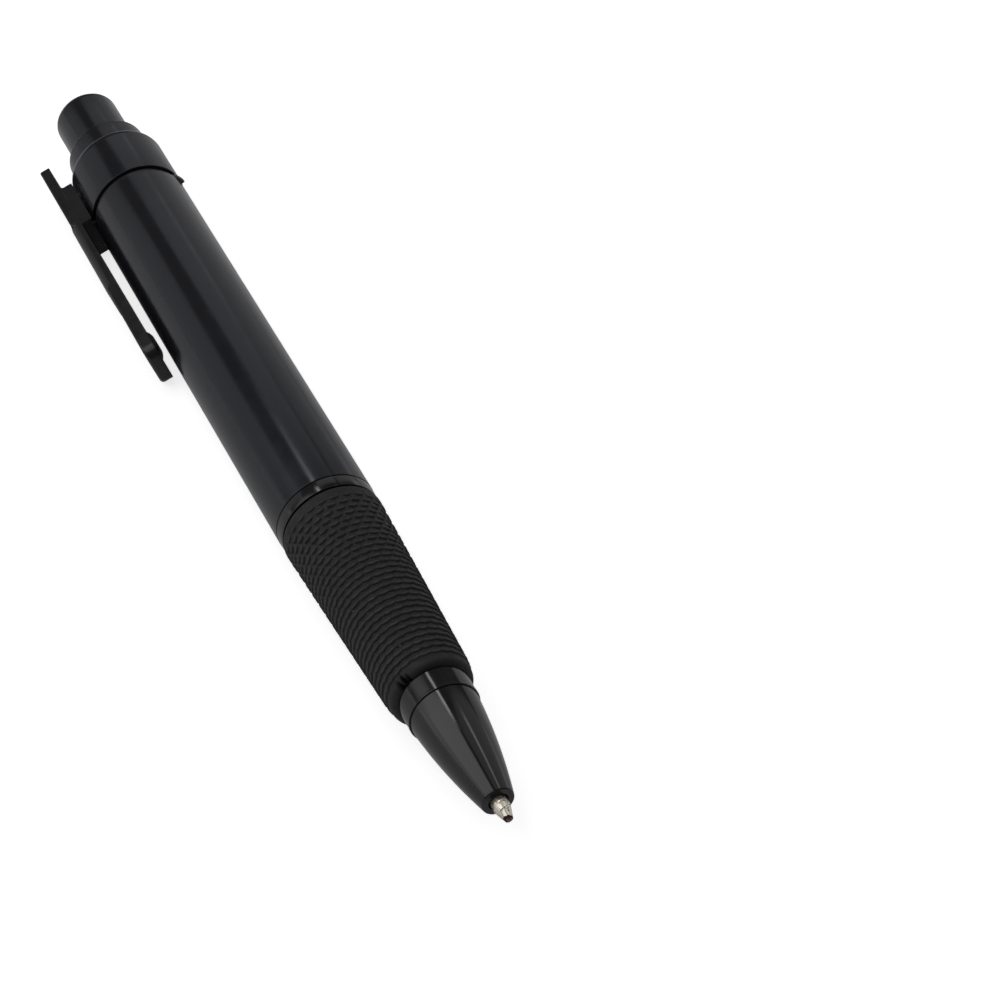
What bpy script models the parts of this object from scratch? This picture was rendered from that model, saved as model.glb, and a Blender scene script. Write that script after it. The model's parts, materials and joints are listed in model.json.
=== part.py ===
"""Retractable ballpoint pen with its point out, lying on a table on its clip.

The pen's own axis runs along +X towards the point. Stations along it are measured from the
middle of the clip ring, and every piece is placed on one empty that carries the pen's axis.
"""

from math import asin, atan2, cos, hypot, pi, radians, sin, sqrt, tan

import bmesh
import bpy
from mathutils import Vector

MM = 0.001

# Clearances
SEAM = 0.10 * MM                # between end faces that meet
FIT = 0.20 * MM                 # round a spigot in its bore
SLIDE = 0.25 * MM               # round a piece that slides or turns
STOP_GAP = 0.30 * MM            # left at the end of a travel
PRESS = 0.08 * MM               # round a piece that is pressed in

# Travel of the click mechanism
STROKE = 5.0 * MM               # from point out to point in
OVERTRAVEL = 1.2 * MM           # extra push that frees the cam
CAM_RIBS = 4
CAM_TURN = pi / CAM_RIBS        # turn of the rotor over one stroke

# Refill
REFILL_LENGTH = 106.8 * MM
REFILL_RADIUS = 1.50 * MM
REFILL_WALL = 0.40 * MM
STOP_THICKNESS = 1.0 * MM
INK_LENGTH = 60.0 * MM
FOLLOWER_LENGTH = 4.0 * MM
POINT_LENGTH = 12.5 * MM        # from the tube's end to the ball
POINT_SHANK = 5.0 * MM
POINT_RADIUS = 0.97 * MM
POINT_SHOULDER = 0.30 * MM      # height of the shoulder against the tube
POINT_SHOULDER_LENGTH = 0.8 * MM
POINT_CONE = 2.3 * MM
POINT_CHANNEL = 0.20 * MM
BALL_RADIUS = 0.40 * MM
BALL_GAP = 0.04 * MM
BALL_SHOW = 0.24 * MM
RIM_WALL = 0.18 * MM

# Rotor, plunger and guide
ROTOR_WALL = 0.85 * MM
ROTOR_HEAD = 3.0 * MM
ROTOR_SOCKET = 4.0 * MM
FIN_HEIGHT = 0.60 * MM
FIN_LENGTH = 3.4 * MM
FIN_SETBACK = 1.2 * MM          # from the rotor's teeth to the fins' middle
FIN_ANGLE = radians(7.0)        # half of a fin's width
RIB_ANGLE = radians(12.5)
KEY_ANGLE = radians(8.0)
KEY_LENGTH = 3.2 * MM
PLUNGER_NOSE = 0.4 * MM
PLUNGER_PLUG = 4.0 * MM
STEM_RADIUS = 2.0 * MM
TOOTH_COUNT = 8
TOOTH_DEPTH = 0.5 * MM
TOOTH_RING = 1.0 * MM
GUIDE_WALL = 0.75 * MM
GUIDE_END_WALL = 1.2 * MM
GUIDE_FLANGE = 1.0 * MM
GUIDE_SKIRT = 1.0 * MM          # past the rotor's fins

# Push button and cap
BUTTON_RADIUS = 4.25 * MM
BUTTON_SHOW = 8.7 * MM
BUTTON_WALL = 1.0 * MM
BUTTON_END_WALL = 1.4 * MM
BUTTON_FILLET = 1.4 * MM
NECK_LENGTH = 3.3 * MM
NECK_WALL = 0.80 * MM
NECK_FILLET = 0.35 * MM
CAP_LENGTH = 9.0 * MM
CAP_STEP = 0.12 * MM            # cap over the barrel's end
CAP_FILLET = 1.1 * MM
SPIGOT_LENGTH = 8.45 * MM
SPIGOT_WALL = 0.75 * MM

# Clip
RING_THICKNESS = 0.70 * MM
RING_STEP = 0.20 * MM           # ring over the barrel's end
EAR_STEP = 0.52 * MM
EAR_MIDDLE = radians(14.0)      # from the side opposite the clip, upwards
EAR_HALF_ANGLE = radians(13.0)
CLIP_WIDTH = 6.6 * MM
CLIP_GAP = 1.29 * MM            # between the clip and the barrel, at the ring
CLIP_THICKNESS = 1.40 * MM
CLIP_SWELL_INNER = 0.12 * MM    # gain in thickness towards the arm's end, on each side
CLIP_SWELL_OUTER = 0.18 * MM
CLIP_LENGTH = 28.15 * MM
CLIP_END_ROUND = 1.8 * MM
CLIP_SLIT = 0.30 * MM           # between the post and the arm, where the clip bends
TAB_REACH = 12.4 * MM
POST_LENGTH = 7.5 * MM
POST_STANDOFF = 0.45 * MM       # between the post's foot and the cap
POST_FOOT = 0.05 * MM           # past the ring, towards the point
POST_LIP = 0.20 * MM
POST_FILLET = 0.45 * MM
PAD_REAR = 1.85 * MM            # behind the ring
PAD_FRONT = 11.15 * MM          # ahead of it
PAD_WIDTH = 4.8 * MM
PAD_HEIGHT = 0.20 * MM
NUB_STATION = 23.85 * MM
NUB_LENGTH = 3.6 * MM
NUB_WIDTH = 2.4 * MM
NUB_HEIGHT = 0.50 * MM

# Barrel, front section, grip and nose
BARREL_WALL = 0.88 * MM         # round the cap's spigot
BARREL_TAPER = 0.215 * MM        # gain in radius towards the point
BARREL_LEDGE = 0.75 * MM        # ledge that holds the guide's flange
EDGE_ROUND = 0.12 * MM
FRONT_SPIGOT = 9.0 * MM
BAND_LENGTH = 1.75 * MM
BAND_INSET = 0.03 * MM          # band under the barrel's end
GRIP_LENGTH = 31.6 * MM
GRIP_WALL = 1.01 * MM
GRIP_TAPER = 1.17 * MM
GRIP_LIP = 0.18 * MM
GRIP_LIP_STATION = 0.8 * MM
GRIP_LIP_LENGTH = 2.4 * MM
GRIP_END_ROUND = 0.9 * MM
CORE_WALL = 0.50 * MM
COLLAR_LENGTH = 2.95 * MM
COLLAR_WALL = 0.84 * MM
COLLAR_LIP = 0.05 * MM
COLLAR_LIP_LENGTH = 0.35 * MM
NOSE_LENGTH = 15.4 * MM
NOSE_SPIGOT = 6.0 * MM
NOSE_SPIGOT_WALL = 1.1 * MM
NOSE_STEP = 0.30 * MM
NOSE_SLOPE = 0.065              # slope of the cone where it leaves the collar
NOSE_LIP = 0.74 * MM             # wall round the hole at the end
NOSE_WALL = 0.8 * MM            # thinnest wall round the spring
NOSE_HOLE_GAP = 0.30 * MM
NOSE_END_ROUND = 0.2 * MM
POINT_SHOW = 3.2 * MM

# Return spring
SPRING_WIRE = 0.20 * MM         # radius of the wire
SPRING_LENGTH = 12.0 * MM
SPRING_TURNS = 9

# Faces round a turned piece, and along an arc
SHELL_STEPS = 32
INNER_STEPS = 24
POINT_STEPS = 16
BALL_RINGS = 8
ARC_STEPS = 3
NOSE_STEPS = 7
SECTOR_STEPS = 3
SADDLE_STEPS = 6
TURN_POINTS = 10
WELD = 1e-7

# Radii, worked out from the refill outwards
tube_bore = REFILL_RADIUS - REFILL_WALL
spring_radius = REFILL_RADIUS + SLIDE + SPRING_WIRE
stop_radius = spring_radius + SPRING_WIRE
front_bore = stop_radius + SLIDE
nose_spigot_radius = front_bore + NOSE_SPIGOT_WALL
nose_socket = nose_spigot_radius + FIT
collar_radius = nose_socket + COLLAR_WALL
nose_radius = collar_radius - NOSE_STEP
nose_hole = POINT_RADIUS + NOSE_HOLE_GAP
nose_end_radius = nose_hole + NOSE_LIP
core_front = nose_socket + CORE_WALL
grip_front = core_front + SEAM + GRIP_WALL
rotor_socket = REFILL_RADIUS + SLIDE
rotor_radius = rotor_socket + ROTOR_WALL
fin_radius = rotor_radius + FIN_HEIGHT
channel_radius = fin_radius + SLIDE
rib_radius = rotor_radius + SLIDE
guide_radius = channel_radius + GUIDE_WALL
cap_bore = max(BUTTON_RADIUS + SLIDE, guide_radius + FIT)
neck_radius = cap_bore + NECK_WALL
spigot_radius = cap_bore + SPIGOT_WALL
barrel_socket = spigot_radius + FIT
barrel_bore = barrel_socket - BARREL_LEDGE
barrel_radius = barrel_socket + BARREL_WALL
barrel_front = barrel_radius + BARREL_TAPER
cap_radius = barrel_radius + CAP_STEP
ring_radius = barrel_radius + RING_STEP
ring_bore = spigot_radius + FIT
band_radius = barrel_front - BAND_INSET
grip_rear = grip_front + GRIP_TAPER
lip_radius = grip_rear + GRIP_LIP
arm_inner = barrel_radius + CLIP_GAP
arm_outer = arm_inner + CLIP_THICKNESS
ear_radius = barrel_radius + EAR_STEP

# Stations along the axis, from the middle of the ring towards the point
cap_front = -RING_THICKNESS / 2 - SEAM
cap_rear = cap_front - CAP_LENGTH - NECK_LENGTH
button_rear = cap_rear - BUTTON_SHOW
guide_rear = 0.0
button_front = guide_rear - OVERTRAVEL - STOP_GAP
plunger_rear = button_rear + BUTTON_END_WALL + SEAM
key_rear = guide_rear + GUIDE_END_WALL + STOP_GAP + STROKE
plunger_front = key_rear + KEY_LENGTH + PLUNGER_NOSE
rotor_rear = plunger_front + STOP_GAP
refill_rear = rotor_rear + ROTOR_HEAD + SEAM
fin_middle = rotor_rear + FIN_SETBACK
guide_front = fin_middle + FIN_LENGTH + GUIDE_SKIRT
flange_rear = cap_front + SPIGOT_LENGTH + SEAM
ledge_station = flange_rear + GUIDE_FLANGE + SEAM
tip_station = refill_rear + REFILL_LENGTH
tube_front = tip_station - POINT_LENGTH
nose_front = tip_station - POINT_SHOW
nose_rear = nose_front - NOSE_LENGTH
collar_front = nose_rear - SEAM
collar_rear = collar_front - COLLAR_LENGTH
grip_station = collar_rear - SEAM - GRIP_LENGTH
band_front = grip_station - SEAM
band_rear = band_front - BAND_LENGTH
barrel_rear = RING_THICKNESS / 2 + SEAM
barrel_end = band_rear - SEAM
post_front = RING_THICKNESS / 2 + POST_FOOT
arm_rear = post_front + CLIP_SLIT
hinge_station = post_front + CLIP_SLIT / 2
hinge_radius = arm_inner + CLIP_THICKNESS / 2
arm_length = CLIP_LENGTH - arm_rear

# How the pen lies: on its widest ring and on the clip's lower corner, centred over the origin
axis_height = max(lip_radius, band_radius, cap_radius)
arm_reach = arm_outer + CLIP_SWELL_OUTER * (1 - CLIP_END_ROUND / arm_length)
clip_corner = hypot(arm_reach, CLIP_WIDTH / 2)
ROLL = asin(axis_height / clip_corner) - atan2(CLIP_WIDTH / 2, arm_reach)
side_low = -arm_reach * cos(ROLL) - CLIP_WIDTH / 2 * sin(ROLL)
side_high = max(lip_radius, ring_radius)

# Finishes: base colour, roughness, metallic
SATIN_BLACK = ((0.026, 0.027, 0.031, 1.0), 0.38, 0.0)
GLOSS_BLACK = ((0.020, 0.021, 0.023, 1.0), 0.14, 0.0)
RUBBER_BLACK = ((0.016, 0.016, 0.016, 1.0), 0.80, 0.0)
CLIP_BLACK = ((0.014, 0.014, 0.016, 1.0), 0.30, 0.0)
NICKEL = ((0.72, 0.68, 0.60, 1.0), 0.25, 1.0)
STEEL = ((0.56, 0.57, 0.58, 1.0), 0.30, 1.0)
WHITE_PLASTIC = ((0.70, 0.70, 0.68, 1.0), 0.40, 0.0)
TUBE_PLASTIC = ((0.62, 0.64, 0.66, 1.0), 0.35, 0.0)
INK = ((0.010, 0.012, 0.060, 1.0), 0.25, 0.0)
GREASE = ((0.60, 0.50, 0.30, 1.0), 0.30, 0.0)


def clear_scene():
    """Remove whatever the file starts with."""
    for obj in list(bpy.data.objects):
        bpy.data.objects.remove(obj, do_unlink=True)


def material(name, finish):
    """A Principled material with a finish's colour, roughness and metallic value."""
    colour, roughness, metallic = finish
    mat = bpy.data.materials.new(name)
    mat.use_nodes = True
    shader = mat.node_tree.nodes["Principled BSDF"]
    shader.inputs["Base Color"].default_value = colour
    shader.inputs["Roughness"].default_value = roughness
    shader.inputs["Metallic"].default_value = metallic
    return mat


def empty(name, parent, location):
    """An empty that carries other pieces."""
    obj = bpy.data.objects.new(name, None)
    obj.parent = parent
    obj.location = location
    bpy.context.scene.collection.objects.link(obj)
    return obj


def add_object(name, data, parent, location, finish):
    """Put a mesh or a curve in the scene under its parent, with its own material."""
    obj = bpy.data.objects.new(name, data)
    obj.parent = parent
    obj.location = location
    bpy.context.scene.collection.objects.link(obj)
    if finish:
        data.materials.append(material(name + "_finish", finish))
    return obj


def mesh_from(bm, name):
    """Close, weld and smooth a bmesh into a mesh whose faces point out."""
    bmesh.ops.remove_doubles(bm, verts=bm.verts, dist=WELD)
    bmesh.ops.recalc_face_normals(bm, faces=bm.faces)
    mesh = bpy.data.meshes.new(name)
    bm.to_mesh(mesh)
    bm.free()
    mesh.shade_smooth()
    mesh.set_sharp_from_angle(angle=radians(35.0))
    return mesh


def filleted(corners):
    """Outline through corners (x, radius, fillet), with each fillet as an arc."""
    outline = []
    for index, (x, radius, fillet) in enumerate(corners):
        corner = Vector((x, radius))
        if fillet == 0.0:
            outline.append(corner)
            continue
        after = corners[(index + 1) % len(corners)]
        back = (Vector(corners[index - 1][:2]) - corner).normalized()
        ahead = (Vector(after[:2]) - corner).normalized()
        half = back.angle(ahead) / 2
        centre = corner + (back + ahead).normalized() * (fillet / sin(half))
        start = corner + back * (fillet / tan(half)) - centre
        end = corner + ahead * (fillet / tan(half)) - centre
        steps = 1 if fillet <= EDGE_ROUND else ARC_STEPS
        for step in range(steps + 1):
            outline.append(centre + start.lerp(end, step / steps).normalized() * fillet)
    return outline


def spun(name, corners, steps, edge_wave=None):
    """Turn an outline about the X axis. edge_wave(x, angle) moves points along the axis."""
    bm = bmesh.new()
    outline = filleted(corners)
    verts = [bm.verts.new((x, 0.0, radius)) for x, radius in outline]
    edges = [bm.edges.new(pair) for pair in zip(verts, verts[1:])]
    if outline[0].y > WELD:
        edges.append(bm.edges.new((verts[-1], verts[0])))
    bmesh.ops.spin(bm, geom=verts + edges, cent=(0, 0, 0), axis=(1, 0, 0), angle=2 * pi,
                   steps=steps, use_merge=True)
    if edge_wave:
        for vert in bm.verts:
            vert.co.x += edge_wave(vert.co.x, atan2(vert.co.z, vert.co.y))
    return mesh_from(bm, name)


def turned(name, corners, steps, finish, parent, station, edge_wave=None):
    """A turned piece on the pen's axis, its outline measured from its own rear end."""
    mesh = spun(name, corners, steps, edge_wave)
    return add_object(name, mesh, parent, (station, 0.0, 0.0), finish)


def prism_mesh(name, outline, low, high):
    """A flat outline in X and Y, extruded from low to high along Z."""
    bm = bmesh.new()
    face = bm.faces.new([bm.verts.new((x, y, low)) for x, y in outline])
    grown = bmesh.ops.extrude_face_region(bm, geom=[face])["geom"]
    moved = [item for item in grown if isinstance(item, bmesh.types.BMVert)]
    bmesh.ops.translate(bm, verts=moved, vec=(0.0, 0.0, high - low))
    return mesh_from(bm, name)


def swept_mesh(name, outline_at, low, high):
    """A flat outline in X and Y that changes as it is swept from low to high along Z."""
    bm = bmesh.new()
    slices = []
    for step in range(SADDLE_STEPS + 1):
        z = low + (high - low) * step / SADDLE_STEPS
        slices.append([bm.verts.new((x, y, z)) for x, y in outline_at(z)])
    bm.faces.new(slices[0])
    bm.faces.new(slices[-1])
    for one, two in zip(slices, slices[1:]):
        for corner in range(len(one)):
            after = (corner + 1) % len(one)
            bm.faces.new((one[corner], one[after], two[after], two[corner]))
    return mesh_from(bm, name)


def sector_mesh(name, inner, outer, half_angle, first, rear, front, count=CAM_RIBS):
    """Ribs, fins or keys round the axis. rear and front give a face's place at an angle."""
    bm = bmesh.new()
    for rib in range(count):
        middle = first + rib * 2 * pi / count
        slices = []
        for step in range(SECTOR_STEPS + 1):
            offset = half_angle * (2 * step / SECTOR_STEPS - 1)
            side = Vector((0.0, cos(middle + offset), sin(middle + offset)))
            along = ((rear(offset), inner), (rear(offset), outer),
                     (front(offset), outer), (front(offset), inner))
            slices.append([bm.verts.new(side * radius + Vector((x, 0.0, 0.0))) for x, radius in along])
        bm.faces.new(slices[0])
        bm.faces.new(slices[-1])
        for one, two in zip(slices, slices[1:]):
            for corner in range(4):
                after = (corner + 1) % 4
                bm.faces.new((one[corner], one[after], two[after], two[corner]))
    return mesh_from(bm, name)


def merge_shape(obj, tool):
    """Join a second shape to a piece with a Boolean union and keep it as a guide."""
    tool.hide_render = True
    tool.display_type = "WIRE"
    union = obj.modifiers.new(tool.name, "BOOLEAN")
    union.operation = "UNION"
    union.object = tool


def cam_ramp(offset):
    """Rise of the cam's slanted faces at an angle, the same as the rotor's own screw motion."""
    return -STROKE * offset / CAM_TURN


def saw(angle):
    """Depth of the crown's teeth at an angle, from 0 at a tip to 1 at a root."""
    turn = angle * TOOTH_COUNT / (2 * pi)
    return 2 * abs(turn - round(turn))


def make_barrel(pen):
    length = barrel_end - barrel_rear
    ledge = ledge_station - barrel_rear
    corners = [
        (0.0, barrel_socket, 0.0),
        (0.0, barrel_radius, EDGE_ROUND),
        (length, barrel_front, EDGE_ROUND),
        (length, barrel_bore, 0.0),
        (ledge, barrel_bore, 0.0),
        (ledge, barrel_socket, 0.0),
    ]
    turned("barrel", corners, SHELL_STEPS, SATIN_BLACK, pen, barrel_rear)


def make_top_cap(pen):
    shoulder = NECK_LENGTH
    foot = NECK_LENGTH + CAP_LENGTH
    end = foot + SPIGOT_LENGTH
    corners = [
        (0.0, cap_bore, 0.0),
        (0.0, neck_radius, min(NECK_FILLET, 0.9 * NECK_WALL)),
        (shoulder, neck_radius, 0.0),
        (shoulder, cap_radius, min(CAP_FILLET, 0.9 * (cap_radius - neck_radius))),
        (foot, cap_radius, EDGE_ROUND),
        (foot, spigot_radius, 0.0),
        (end, spigot_radius, EDGE_ROUND),
        (end, cap_bore, 0.0),
    ]
    turned("top_cap", corners, SHELL_STEPS, SATIN_BLACK, pen, cap_rear)


def make_push_button(slide):
    length = button_front - button_rear
    bore = BUTTON_RADIUS - BUTTON_WALL
    corners = [
        (0.0, 0.0, 0.0),
        (0.0, BUTTON_RADIUS, BUTTON_FILLET),
        (length, BUTTON_RADIUS, EDGE_ROUND),
        (length, bore, 0.0),
        (BUTTON_END_WALL, bore, 0.0),
        (BUTTON_END_WALL, 0.0, 0.0),
    ]
    turned("push_button", corners, SHELL_STEPS, SATIN_BLACK, slide, button_rear)


def make_plunger(slide):
    length = plunger_front - plunger_rear
    crown = key_rear - plunger_rear
    plug_radius = BUTTON_RADIUS - BUTTON_WALL - PRESS
    tooth_bore = rotor_radius - TOOTH_RING
    recess = length - 2 * TOOTH_DEPTH

    def teeth(x, angle):
        return -TOOTH_DEPTH * saw(angle) if x > length - WELD else 0.0

    corners = [
        (0.0, 0.0, 0.0),
        (0.0, plug_radius, EDGE_ROUND),
        (PLUNGER_PLUG, plug_radius, 0.0),
        (PLUNGER_PLUG, STEM_RADIUS, 0.0),
        (crown, STEM_RADIUS, 0.0),
        (crown, rotor_radius, 0.0),
        (length, rotor_radius, 0.0),
        (length, tooth_bore, 0.0),
        (recess, tooth_bore, 0.0),
        (recess, 0.0, 0.0),
    ]
    plunger = turned("plunger", corners, SHELL_STEPS, WHITE_PLASTIC, slide, plunger_rear, teeth)
    keys = sector_mesh("plunger_keys", rotor_radius - TOOTH_RING / 2, fin_radius, KEY_ANGLE, 0.0,
                       lambda offset: crown, lambda offset: crown + KEY_LENGTH)
    merge_shape(plunger, add_object("plunger_keys", keys, slide, plunger.location, None))


def make_cam_guide(pen):
    length = guide_front - guide_rear
    flange = flange_rear - guide_rear
    flange_radius = barrel_socket - FIT
    hole = STEM_RADIUS + SLIDE
    rib_end = fin_middle - STOP_GAP - guide_rear
    corners = [
        (0.0, hole, 0.0),
        (0.0, guide_radius, EDGE_ROUND),
        (flange, guide_radius, 0.0),
        (flange, flange_radius, 0.0),
        (flange + GUIDE_FLANGE, flange_radius, 0.0),
        (flange + GUIDE_FLANGE, guide_radius, 0.0),
        (length, guide_radius, EDGE_ROUND),
        (length, channel_radius, 0.0),
        (GUIDE_END_WALL, channel_radius, 0.0),
        (GUIDE_END_WALL, hole, 0.0),
    ]
    guide = turned("cam_guide", corners, SHELL_STEPS, WHITE_PLASTIC, pen, guide_rear)
    ribs = sector_mesh("guide_ribs", rib_radius, channel_radius + GUIDE_WALL / 2, RIB_ANGLE, CAM_TURN,
                       lambda offset: GUIDE_END_WALL / 2, lambda offset: rib_end + cam_ramp(offset))
    merge_shape(guide, add_object("guide_ribs", ribs, pen, guide.location, None))


def make_cam_rotor(turn):
    length = ROTOR_HEAD + ROTOR_SOCKET
    tooth_bore = rotor_radius - TOOTH_RING

    def teeth(x, angle):
        return TOOTH_DEPTH * saw(angle) if x < WELD else 0.0

    corners = [
        (2 * TOOTH_DEPTH, 0.0, 0.0),
        (2 * TOOTH_DEPTH, tooth_bore, 0.0),
        (0.0, tooth_bore, 0.0),
        (0.0, rotor_radius, 0.0),
        (length, rotor_radius, EDGE_ROUND),
        (length, rotor_socket, 0.0),
        (ROTOR_HEAD, rotor_socket, 0.0),
        (ROTOR_HEAD, 0.0, 0.0),
    ]
    rotor = turned("cam_rotor", corners, SHELL_STEPS, WHITE_PLASTIC, turn, rotor_rear, teeth)
    fins = sector_mesh("rotor_fins", rotor_radius - ROTOR_WALL / 2, fin_radius, FIN_ANGLE, CAM_TURN,
                       lambda offset: FIN_SETBACK + cam_ramp(offset),
                       lambda offset: FIN_SETBACK + FIN_LENGTH)
    merge_shape(rotor, add_object("rotor_fins", fins, turn, rotor.location, None))


def spring_seat():
    """Station where the nose's wall is just thick enough to end the spring's bore."""
    bend = (nose_radius - nose_end_radius - NOSE_SLOPE * NOSE_LENGTH) / NOSE_LENGTH ** 2
    fall = nose_radius - front_bore - NOSE_WALL
    reach = (sqrt(NOSE_SLOPE ** 2 + 4 * bend * fall) - NOSE_SLOPE) / (2 * bend)
    return nose_rear + reach


def make_refill(slide):
    length = tube_front - refill_rear
    stop_front = spring_seat() - 2 * SEAM - SPRING_LENGTH - refill_rear
    stop_rear = stop_front - STOP_THICKNESS
    corners = [
        (0.0, tube_bore, 0.0),
        (0.0, REFILL_RADIUS, 0.0),
        (stop_rear, REFILL_RADIUS, 0.0),
        (stop_rear, stop_radius, 0.0),
        (stop_front, stop_radius, 0.0),
        (stop_front, REFILL_RADIUS, 0.0),
        (length, REFILL_RADIUS, EDGE_ROUND),
        (length, tube_bore, 0.0),
    ]
    turned("refill_tube", corners, INNER_STEPS, TUBE_PLASTIC, slide, refill_rear)

    ink_radius = tube_bore - PRESS
    ink_front = tube_front - POINT_SHANK - SEAM
    ink_rear = ink_front - INK_LENGTH
    plugs = (("ink_column", INK_LENGTH, ink_rear, INK),
             ("ink_follower", FOLLOWER_LENGTH, ink_rear - SEAM - FOLLOWER_LENGTH, GREASE))
    for name, plug_length, station, finish in plugs:
        corners = [
            (0.0, 0.0, 0.0),
            (0.0, ink_radius, 0.0),
            (plug_length, ink_radius, 0.0),
            (plug_length, 0.0, 0.0),
        ]
        turned(name, corners, POINT_STEPS, finish, slide, station)


def make_refill_point(slide, ball):
    rear = tube_front - POINT_SHANK
    shank_end = POINT_SHANK + SEAM
    front = tip_station - BALL_SHOW - rear
    ball_centre = tip_station - BALL_RADIUS - rear
    seat_radius = BALL_RADIUS + BALL_GAP
    seat = ball_centre - seat_radius
    rim_radius = seat_radius + RIM_WALL
    shank_radius = tube_bore - PRESS
    corners = [
        (0.0, POINT_CHANNEL, 0.0),
        (0.0, shank_radius, 0.0),
        (shank_end, shank_radius, 0.0),
        (shank_end, POINT_RADIUS + POINT_SHOULDER, 0.0),
        (shank_end + POINT_SHOULDER_LENGTH, POINT_RADIUS + POINT_SHOULDER, 0.0),
        (shank_end + POINT_SHOULDER_LENGTH, POINT_RADIUS, 0.0),
        (front - POINT_CONE, POINT_RADIUS, 0.0),
        (front, rim_radius, 0.0),
        (front, seat_radius, 0.0),
        (seat, seat_radius, 0.0),
        (seat, POINT_CHANNEL, 0.0),
    ]
    turned("refill_point", corners, POINT_STEPS, NICKEL, slide, rear)

    bm = bmesh.new()
    bmesh.ops.create_uvsphere(bm, u_segments=POINT_STEPS, v_segments=BALL_RINGS, radius=BALL_RADIUS)
    add_object("writing_ball", mesh_from(bm, "writing_ball"), ball, (0.0, 0.0, 0.0), STEEL)


def make_return_spring(pen):
    """A helix of wire from the refill's stop to its seat in the nose."""
    start = spring_seat() - SEAM - SPRING_LENGTH + SPRING_WIRE
    run = SPRING_LENGTH - 2 * SPRING_WIRE
    count = SPRING_TURNS * TURN_POINTS
    points = []
    for index in range(count + 1):
        angle = 2 * pi * index / TURN_POINTS
        points.append(Vector((run * index / count, spring_radius * cos(angle), spring_radius * sin(angle))))
    curve = bpy.data.curves.new("return_spring", "CURVE")
    curve.dimensions = "3D"
    curve.bevel_depth = SPRING_WIRE
    curve.bevel_resolution = 1
    curve.use_fill_caps = True
    spline = curve.splines.new("POLY")
    spline.points.add(len(points) - 1)
    for spot, point in zip(spline.points, points):
        spot.co = (*point, 1.0)
    add_object("return_spring", curve, pen, (start, 0.0, 0.0), STEEL)
    apart = TURN_POINTS // 2
    least = min((two - one).length for index, one in enumerate(points) for two in points[index + apart:])
    print("return_spring least gap to itself, mm:", round((least - 2 * SPRING_WIRE) / MM, 3))


def make_front_section(pen):
    rear = band_rear - FRONT_SPIGOT
    band_end = band_front - rear
    core_end = collar_rear - rear
    end = collar_front - rear
    socket = nose_rear - NOSE_SPIGOT - SEAM - rear
    core_rear = core_front + GRIP_TAPER
    corners = [
        (0.0, front_bore, 0.0),
        (0.0, barrel_bore - FIT, EDGE_ROUND),
        (FRONT_SPIGOT, barrel_bore - FIT, 0.0),
        (FRONT_SPIGOT, band_radius, EDGE_ROUND),
        (band_end, band_radius, EDGE_ROUND),
        (band_end, core_rear, 0.0),
        (core_end, core_front, 0.0),
        (core_end, collar_radius, 0.0),
        (end - COLLAR_LIP_LENGTH, collar_radius, 0.0),
        (end - COLLAR_LIP_LENGTH, collar_radius + COLLAR_LIP, 0.0),
        (end, collar_radius + COLLAR_LIP, 0.0),
        (end, nose_socket, 0.0),
        (socket, nose_socket, 0.0),
        (socket, front_bore, 0.0),
    ]
    turned("front_section", corners, SHELL_STEPS, GLOSS_BLACK, pen, rear)


def make_grip_sleeve(pen):
    """Rubber sleeve with a proud lip at its rear, tapering to a rounded front end."""
    length = GRIP_LENGTH
    bore_front = core_front + SEAM
    bore_rear = bore_front + GRIP_TAPER
    corners = [
        (0.0, bore_rear, 0.0),
        (0.0, grip_rear, 0.0),
        (GRIP_LIP_STATION, lip_radius, 0.0),
        (GRIP_LIP_LENGTH, grip_rear, 0.0),
        (length, grip_front, min(GRIP_END_ROUND, 0.9 * GRIP_WALL)),
        (length, bore_front, 0.0),
    ]
    turned("grip_sleeve", corners, SHELL_STEPS, RUBBER_BLACK, pen, grip_station)


def make_nose_cone(pen):
    rear = nose_rear - NOSE_SPIGOT
    seat = spring_seat() - rear
    bend = (nose_radius - nose_end_radius - NOSE_SLOPE * NOSE_LENGTH) / NOSE_LENGTH ** 2
    corners = [
        (0.0, front_bore, 0.0),
        (0.0, nose_spigot_radius, EDGE_ROUND),
        (NOSE_SPIGOT, nose_spigot_radius, 0.0),
    ]
    for step in range(NOSE_STEPS + 1):
        x = NOSE_LENGTH * step / NOSE_STEPS
        edge = NOSE_END_ROUND if step == NOSE_STEPS else 0.0
        corners.append((NOSE_SPIGOT + x, nose_radius - NOSE_SLOPE * x - bend * x ** 2, edge))
    corners += [
        (NOSE_SPIGOT + NOSE_LENGTH, nose_hole, 0.0),
        (seat, nose_hole, 0.0),
        (seat, front_bore, 0.0),
    ]
    turned("nose_cone", corners, SHELL_STEPS, GLOSS_BLACK, pen, rear)


def post_outline(across, half, seat):
    """The clip's tab and post along the pen, with a foot that saddles the cap at a distance across it."""
    foot = sqrt((cap_radius + POST_STANDOFF) ** 2 - across ** 2)
    lip = foot + POST_LIP
    return filleted([
        (-TAB_REACH, arm_outer, 0.0),
        (-TAB_REACH, arm_inner, 0.0),
        (-POST_LENGTH, arm_inner, 0.0),
        (-POST_LENGTH, lip, POST_FILLET),
        (-POST_LENGTH - POST_FILLET, lip, 0.0),
        (-POST_LENGTH - POST_FILLET, foot, 0.0),
        (-half, foot, 0.0),
        (-half, seat, 0.0),
        (half, seat, 0.0),
        (half, foot, 0.0),
        (post_front, foot, 0.0),
        (post_front, arm_outer, 0.0),
    ])


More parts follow.
